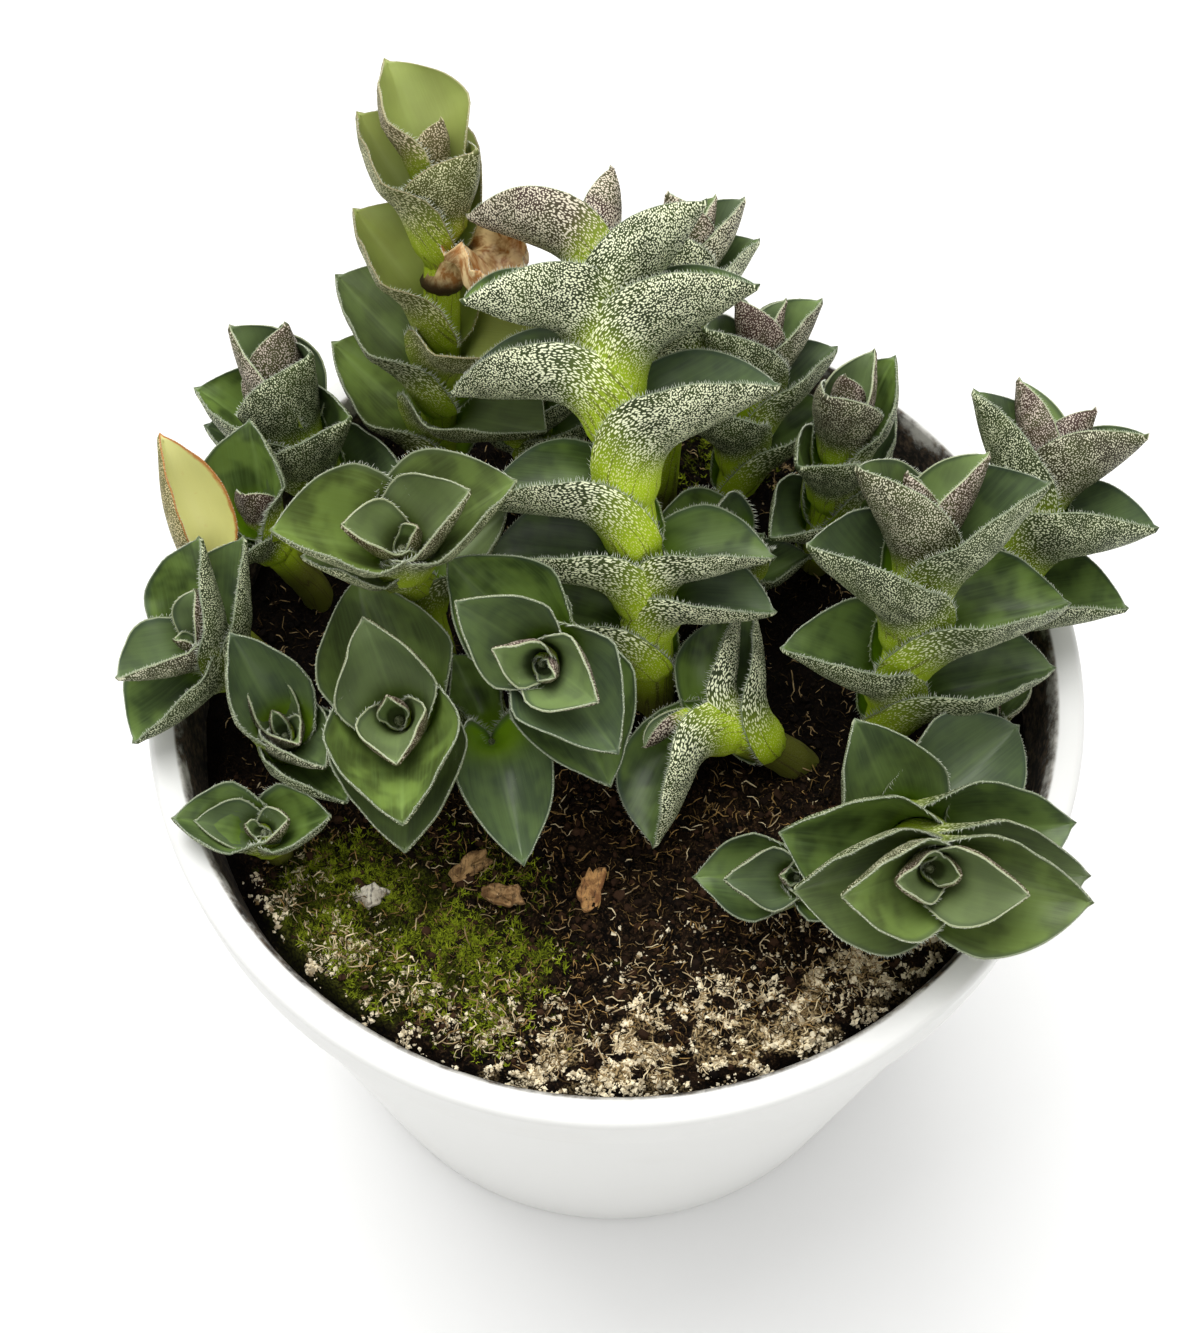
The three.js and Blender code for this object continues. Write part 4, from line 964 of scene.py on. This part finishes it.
def build_pot():
    """The pot, turned from one outline and then drilled."""
    lip_foot = MOUTH_RADIUS + WALL + 0.6
    underside = [(0, 0.6), (20, 0.6), (38, 0.5), (39, 0)] + arc((41.6, 0.9), 0.9, -90, -10, 5)
    outside = [(mix(42.9, lip_foot, f), mix(2.0, 86.2, f)) for f in np.linspace(0, 1, 12)]
    ledge = [(lip_foot + 0.1, 86.9), (59.0, 87.0)] + arc((58.9, 87.5), 0.45, -80, 0, 4)
    lip = [(59.7, 91), (59.9, 94.4)] + arc((59.1, 95.1), 0.9, 0, 90, 6) + arc((56.9, 95.2), 0.8, 90, 176, 6)
    inside = [(inner_radius(z), z) for z in np.linspace(94.6, 3.2, 16)]
    floor = arc((inner_radius(2 * WALL) - WALL, 2 * WALL), WALL, 0, -90, 5) + [(20, WALL), (0, WALL)]
    soup = Soup()
    soup.add(*lathe(underside + outside + ledge + lip + inside + floor, POT_SIDES))
    pot = mesh_object("nursery_pot", soup, [pot_material()])
    cut_holes(pot)
    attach(pot, "root")
    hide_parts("pot")


build_pot()


# The soil.

# The patches of moss and of lime crust: where each lies, how wide it is and how strong.
MOSS_PATCHES = [
    (-40, -25, 6, 0.8), (-30, -23, 7, 1.0), (-21, -39, 8, 1.2), (-28, -33, 9, 0.9), (-36, -31, 6, 0.7),
    (-12, -34, 6, 0.5), (-14, -22, 5, 0.5), (12, 44, 9, 0.6), (38, 30, 7, 0.5), (-5, 20, 9, 0.4),
]
CRUST_PATCHES = [
    (18, -44, 11, 0.9), (5, -48, 9, 0.8), (30, -39, 9, 0.7), (-36, -34, 5, 0.9), (-12, -46, 8, 0.7),
    (41, -27, 6, 0.5), (30, 38, 9, 0.4), (-30, 34, 8, 0.3),
]
SOIL_RINGS = 104
SOIL_SIDES = 420
STREWN_RADIUS = 51.5
THREAD_LENGTH = (0.9, 3.8)


def patches(x, y, spots):
    return sum(k * np.exp(-((x - a) ** 2 + (y - b) ** 2) / r**2) for a, b, r, k in spots)


def moss_at(x, y):
    return np.clip(patches(x, y, MOSS_PATCHES) * (0.75 + 0.6 * noise(x / 5, y / 5, 31)), 0, 1)


def crust_at(x, y):
    ring = smooth((np.hypot(x, y) - 40) / 9) * smooth((-y - 8) / 16)
    strength = ring * 0.8 + patches(x, y, CRUST_PATCHES) * 0.8
    return np.clip(strength * (0.7 + 0.8 * noise(x / 2.7, y / 2.3, 77)), 0, 1)


def painted_shade_at(x, y):
    """How much painted shade darkens the soil: full under the leaves, none at the open front."""
    return smooth((y + 13 + 3 * noise(x / 6, y / 6, 21)) / 8)


def clump_at(x, y):
    """Lime settles in small clumps within the crusted patches."""
    waves = noise(x / 1.3, y / 1.1, 61) + 0.6 * noise(x / 0.6, y / 0.6, 62)
    return crust_at(x, y) ** 1.2 * smooth((waves + 0.05) / 0.4)


def open_soil(x, y):
    """Loose peat lies most in the open, with less of it under the moss and the lime."""
    return (0.95 - 0.5 * moss_at(x, y)) * (1 - 0.7 * crust_at(x, y)) * (1 - 0.55 * painted_shade_at(x, y))


def ground_height(x, y):
    r = np.hypot(x, y)
    waves = (0.75, 5, 3), (0.5, 2.2, 4), (0.3, 1.1, 5)
    rough = sum(high * noise(x / wide, y / wide, seed) for high, wide, seed in waves)
    gap = 2.6 * smooth((r - 51.6 - 0.9 * noise(x / 4, y / 4, 8)) / 2.4)
    return soil_height(x, y) - 0.35 + rough + 0.3 * moss_at(x, y) + 0.4 * crust_at(x, y) - gap


def build_soil():
    """The rough ground, closed below by a plain side and underside."""
    edge = inner_radius(SOIL_LEVEL) - 0.25
    r = edge * (np.arange(1, SOIL_RINGS + 1) / SOIL_RINGS)[:, None]
    w = 2 * math.pi * np.arange(SOIL_SIDES)[None] / SOIL_SIDES
    x, y = r * np.cos(w), r * np.sin(w)
    top = np.stack([x, y, ground_height(x, y)], -1)
    floor_z = WALL + 0.35
    foot = inner_radius(floor_z) - 1.8
    low = np.stack([foot * np.cos(w), foot * np.sin(w), floor_z + 0 * w], -1)
    middle = float(ground_height(0, 0))
    points, faces = capped(np.concatenate([top, low]), (0, 0, middle), (0, 0, floor_z))
    x, y = points[:, 0], points[:, 1]
    # Painted shade, strongest in the gap along the pot wall and under the leaves.
    painted_shade_amount = np.maximum(smooth((np.hypot(x, y) - 51) / 2.5), 0.9 * painted_shade_at(x, y))
    soup = Soup("soil")
    soup.add(points, faces, soil=np.stack([moss_at(x, y), crust_at(x, y), painted_shade_amount], 1))
    piece = mesh_object("peat_soil", soup, [soil_material()])
    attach(piece, "root")
    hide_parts("soil")


def ball():
    """A twenty-sided ball."""
    g = (1 + 5**0.5) / 2
    points = [
        (-1, g, 0), (1, g, 0), (-1, -g, 0), (1, -g, 0), (0, -1, g), (0, 1, g), (0, -1, -g), (0, 1, -g),
        (g, 0, -1), (g, 0, 1), (-g, 0, -1), (-g, 0, 1),
    ]
    faces = [
        (0, 11, 5), (0, 5, 1), (0, 1, 7), (0, 7, 10), (0, 10, 11), (1, 5, 9), (5, 11, 4), (11, 10, 2),
        (10, 7, 6), (7, 1, 8), (3, 9, 4), (3, 4, 2), (3, 2, 6), (3, 6, 8), (3, 8, 9), (4, 9, 5),
        (2, 4, 11), (6, 2, 10), (8, 6, 7), (9, 8, 1),
    ]
    return unit(np.array(points)), np.array(faces)


def nugget():
    """An eight-sided grain."""
    points = [(1, 0, 0), (0, 1, 0), (-1, 0, 0), (0, -1, 0), (0, 0, 1), (0, 0, -1)]
    faces = [(0, 1, 4), (1, 2, 4), (2, 3, 4), (3, 0, 4), (1, 0, 5), (2, 1, 5), (3, 2, 5), (0, 3, 5)]
    return np.array(points, float), np.array(faces)


def turned_at_random(rng, count):
    """Random turnings, one 3 by 3 matrix each."""
    w, x, y, z = unit(rng.normal(size=(count, 4))).T
    return np.stack([
        np.stack([1 - 2 * (y * y + z * z), 2 * (x * y - z * w), 2 * (x * z + y * w)], -1),
        np.stack([2 * (x * y + z * w), 1 - 2 * (x * x + z * z), 2 * (y * z - x * w)], -1),
        np.stack([2 * (x * z - y * w), 2 * (y * z + x * w), 1 - 2 * (x * x + y * y)], -1)], 1)


def scattered(rng, count, density, most=STREWN_RADIUS):
    """Places on the soil, more of them where density(x, y) is high."""
    kept = np.zeros((0, 2))
    while len(kept) < count:
        spots = rng.uniform(-most, most, (4 * count, 2))
        x, y = spots.T
        good = (np.hypot(x, y) < most) & (rng.uniform(size=len(x)) < density(x, y))
        kept = np.concatenate([kept, spots[good]])
    return kept[:count, 0], kept[:count, 1]


def strewn_piece(name, points, faces, tone, material, flat=True):
    """Joins what is strewn into one piece, with a tone of its own for each bit."""
    soup = Soup("tone")
    tone = np.repeat(tone, len(points) // len(tone))
    soup.add(points, faces, tone=tone[:, None])
    piece = mesh_object(name, soup, [material], flat)
    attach(piece, "root")


def grains(name, density, material, form, seed, count, size, gloom, most=STREWN_RADIUS):
    """Small lumps strewn on the soil."""
    rng = np.random.default_rng(seed)
    x, y = scattered(rng, count, density, most)
    corners, faces = form
    r = size[0] * (size[1] / size[0]) ** (rng.uniform(size=count) ** 2.2)
    shape = corners[None] * rng.uniform(0.75, 1.2, (count, len(corners), 1))
    stretch = [rng.uniform(low, high, count) for low, high in ((0.7, 1.3), (0.7, 1.1), (0.6, 1.0))]
    shape = shape * np.stack(stretch, -1)[:, None]
    shape = np.einsum("nij,nkj->nki", turned_at_random(rng, count), shape) * r[:, None, None]
    centre = np.stack([x, y, ground_height(x, y) + r * 0.3], -1)
    points = (shape + centre[:, None]).reshape(-1, 3)
    # Grains under the leaves get darker tones: painted shade.
    tone = rng.uniform(size=count) ** gloom * (1 - 0.85 * painted_shade_at(x, y))
    strewn_piece(name, points, repeated(faces, len(corners), count), tone, material)


def threads(name, density, material, seed, count, radius, gloom, lift=0.5):
    """Bent fibres and straws lying on the soil."""
    rng = np.random.default_rng(seed)
    x, y = scattered(rng, count, density, STREWN_RADIUS - 1)
    steps, sides = 4, 3
    long = rng.uniform(*THREAD_LENGTH, count) * rng.uniform(0.4, 1, count)
    turn = rng.uniform(0, 2 * math.pi, count)
    bend = rng.normal(0, 0.45, count)
    kink = rng.normal(0, 0.5, (count, steps))
    f = np.linspace(-0.5, 0.5, steps)[None]
    way = turn[:, None] + bend[:, None] * f * 2 + kink
    px = x[:, None] + np.cumsum(np.cos(way), 1) * long[:, None] / steps
    py = y[:, None] + np.cumsum(np.sin(way), 1) * long[:, None] / steps
    shrink = np.minimum(1, 53.0 / np.hypot(px, py))
    px, py = px * shrink, py * shrink
    rise = rng.uniform(0, lift, count)[:, None] * (1 + 3 * (f + 0.5) * rng.uniform(-0.2, 1, count)[:, None])
    spine = np.stack([px, py, ground_height(px, py) + 0.1 + rise], -1)
    thick = rng.uniform(*radius, count)[:, None] * (1 - 0.5 * np.abs(f * 2) ** 3)
    ahead = unit(np.gradient(spine, axis=1))
    side = unit(np.cross(ahead, [0, 0, 1.0]))
    up = np.cross(side, ahead)[:, :, None]
    w = (2 * math.pi * np.arange(sides) / sides)[:, None]
    rings = spine[:, :, None] + thick[..., None, None] * (side[:, :, None] * np.cos(w) + up * np.sin(w))
    points = rings.reshape(-1, 3)
    ends = [[2, 1, 0], [k + (steps - 1) * sides for k in range(3)]]
    one = outward(points[:steps * sides], np.concatenate([tube_faces(steps, sides), ends]))
    # Fibres under the leaves get darker tones: painted shade.
    tone = rng.uniform(size=count) ** gloom * (1 - 0.8 * painted_shade_at(x, y))
    strewn_piece(name, points, repeated(one, steps * sides, count), tone, material, flat=False)


def moss(name, material, seed, count):
    """Tufts of short pointed moss leaves."""
    rng = np.random.default_rng(seed)
    x, y = scattered(rng, count, lambda a, b: moss_at(a, b) ** 1.3)
    blades = 6
    w = rng.uniform(0, 2 * math.pi, (count, blades))
    lean = rng.uniform(0.3, 1.3, (count, blades))
    long = rng.uniform(0.45, 1.1, (count, blades))
    centre = np.stack([x, y, ground_height(x, y) - 0.1], -1)[:, None]
    way = np.stack([np.cos(w) * np.sin(lean), np.sin(w) * np.sin(lean), np.cos(lean)], -1)
    side = unit(np.cross(way, [0, 0, 1.0]))
    foot = centre + way * 0.1
    points, faces = thorns(foot, foot + way * long[..., None], side, np.cross(way, side), 0.13, 0.6)
    bright = mix(0.3, 1.2, smooth((noise(x / 3.4, y / 3.0, 91) + 0.35) / 0.7))
    strewn_piece(name, points, faces, rng.uniform(size=count) * bright, material)


build_soil()
crumb, crust = grain_material("crumb", "080503", "402c1e"), grain_material("crust", "7a6442", "fff2d0")
fibre, straw = grain_material("fibre", "100a05", "c09a5e"), grain_material("straw", "9a8058", "fbe8bc")
grains("soil_crumbs", open_soil, crumb, ball(), seed=11, count=4600, size=(0.2, 0.8), gloom=1.6)
grains("lime_crust", clump_at, crust, nugget(), seed=12, count=9000, size=(0.13, 0.5), gloom=0.55,
       most=53.2)
threads("peat_fibres", lambda x, y: 0.95 - 0.5 * painted_shade_at(x, y), fibre, seed=13, count=8200,
        radius=(0.03, 0.1), gloom=3.6)
threads("straws", lambda x, y: 0.04 + clump_at(x, y), straw, seed=14, count=2500,
        radius=(0.045, 0.12), gloom=1.6, lift=0.8)
moss("moss_tufts", grain_material("moss", "151806", "9fae2a"), seed=15, count=5200)


# Bark chips.

# Where each one lies, how far it is turned, its length, width and height, and its two tones.
CHIPS = [
    ("bark_chip_left", (-18.6, -22.6), 35, (5.6, 3.2, 1.7), "74542f", "c49c66"),
    ("bark_chip_centre", (-14.4, -26.4), -20, (5.2, 3.0, 1.7), "7c5830", "d0a670"),
    ("bark_chip_right", (-3.2, -25.2), 70, (6.0, 3.4, 1.7), "8a5c34", "dca868"),
    ("bark_chip_pale", (-31.5, -26.2), 10, (4.6, 3.2, 1.6), "a89c88", "eee6d2"),
]
CHIP_ROWS = 16
CHIP_SIDES = 28


def build_chip(name, at, turn, size, dark, light, seed):
    """A flat flake with a ragged outline and layered relief."""
    w = 2 * math.pi * np.arange(CHIP_SIDES)[None] / CHIP_SIDES
    v = np.linspace(-1, 1, CHIP_ROWS)[:, None] * math.pi / 2
    flat = np.sign(np.sin(v)) * np.abs(np.sin(v)) ** 0.5
    wide = np.abs(np.cos(v)) ** 0.35
    outline = 0.3 * noise(np.cos(w) * 2.1 + seed, np.sin(w) * 2.1, seed)
    ragged = 1 + outline + 0.12 * noise(w * 3, w * 0, seed + 1)
    x = size[0] / 2 * wide * np.cos(w) * ragged
    y = size[1] / 2 * wide * np.sin(w) * ragged
    relief = 0.3 * noise(x / 0.9, y / 0.4, seed + 2) + 0.16 * noise(x / 0.4, y / 0.25, seed + 3)
    z = size[2] / 2 * (flat * 0.62 + relief * (flat > -0.2)) + 0.22 * y**2 + 0.15 * np.sin(x)
    z = z - z.min() + (float(soil_height(*at)) - 0.5)
    c, s = math.cos(math.radians(turn)), math.sin(math.radians(turn))
    rings = np.stack([at[0] + x * c - y * s, at[1] + x * s + y * c, z], -1)
    soup = Soup()
    soup.add(*capped(rings, rings[0].mean(0), rings[-1].mean(0)))
    piece = mesh_object("flake_" + name, soup, [bark_material("bark_" + name, dark, light)])
    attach(piece, "root")
    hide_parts(name)


for number, chip in enumerate(CHIPS):
    build_chip(*chip, 5 + number)


# Floor, light and camera.

# Metres and degrees, with the camera at the photograph's viewing angle.
FLOOR = 8.0
SKY = 0.72
AIM = (0, 0, 0.09)
LAMPS = [("key", (-0.2, 0.36, 1.25), 1.2, 18.5), ("fill", (0.5, -0.8, 0.8), 0.7, 1.5)]
EYE = (-0.00205, -0.1591, 0.3919)
LOOKS_DOWN = 61.5
LENS = 70.76


def build_floor():
    half = FLOOR / 2 / METRES
    low = -0.05
    soup = Soup()
    corners = [(-half, -half, low), (half, -half, low), (half, half, low), (-half, half, low)]
    soup.add(corners, [(0, 1, 2), (0, 2, 3)])
    floor = mesh_object("floor", soup, [floor_material()], flat=True)


def build_lights():
    world = bpy.data.worlds.new("studio")
    world.use_nodes = True
    sky = world.node_tree.nodes["Background"].inputs
    sky["Color"].default_value = (1.0, 1.0, 1.0, 1)
    sky["Strength"].default_value = SKY
    bpy.context.scene.world = world
    for name, at, size, power in LAMPS:
        light = bpy.data.lights.new(name, "AREA")
        light.shape, light.size, light.energy = "SQUARE", size, power
        lamp = bpy.data.objects.new(name, light)
        lamp.location = at
        lamp.rotation_euler = (Vector(AIM) - Vector(at)).to_track_quat("-Z", "Y").to_euler()
        bpy.context.scene.collection.objects.link(lamp)


def build_camera():
    camera = bpy.data.cameras.new("camera")
    camera.sensor_width, camera.lens = 36.0, LENS
    camera.clip_start, camera.clip_end = 0.01, 20.0
    eye = bpy.data.objects.new("camera", camera)
    eye.location = EYE
    eye.rotation_euler = (math.radians(90 - LOOKS_DOWN), 0, 0)
    bpy.context.scene.collection.objects.link(eye)
    bpy.context.scene.camera = eye
    bpy.context.scene.view_settings.view_transform = "Standard"


build_floor()
build_lights()
build_camera()
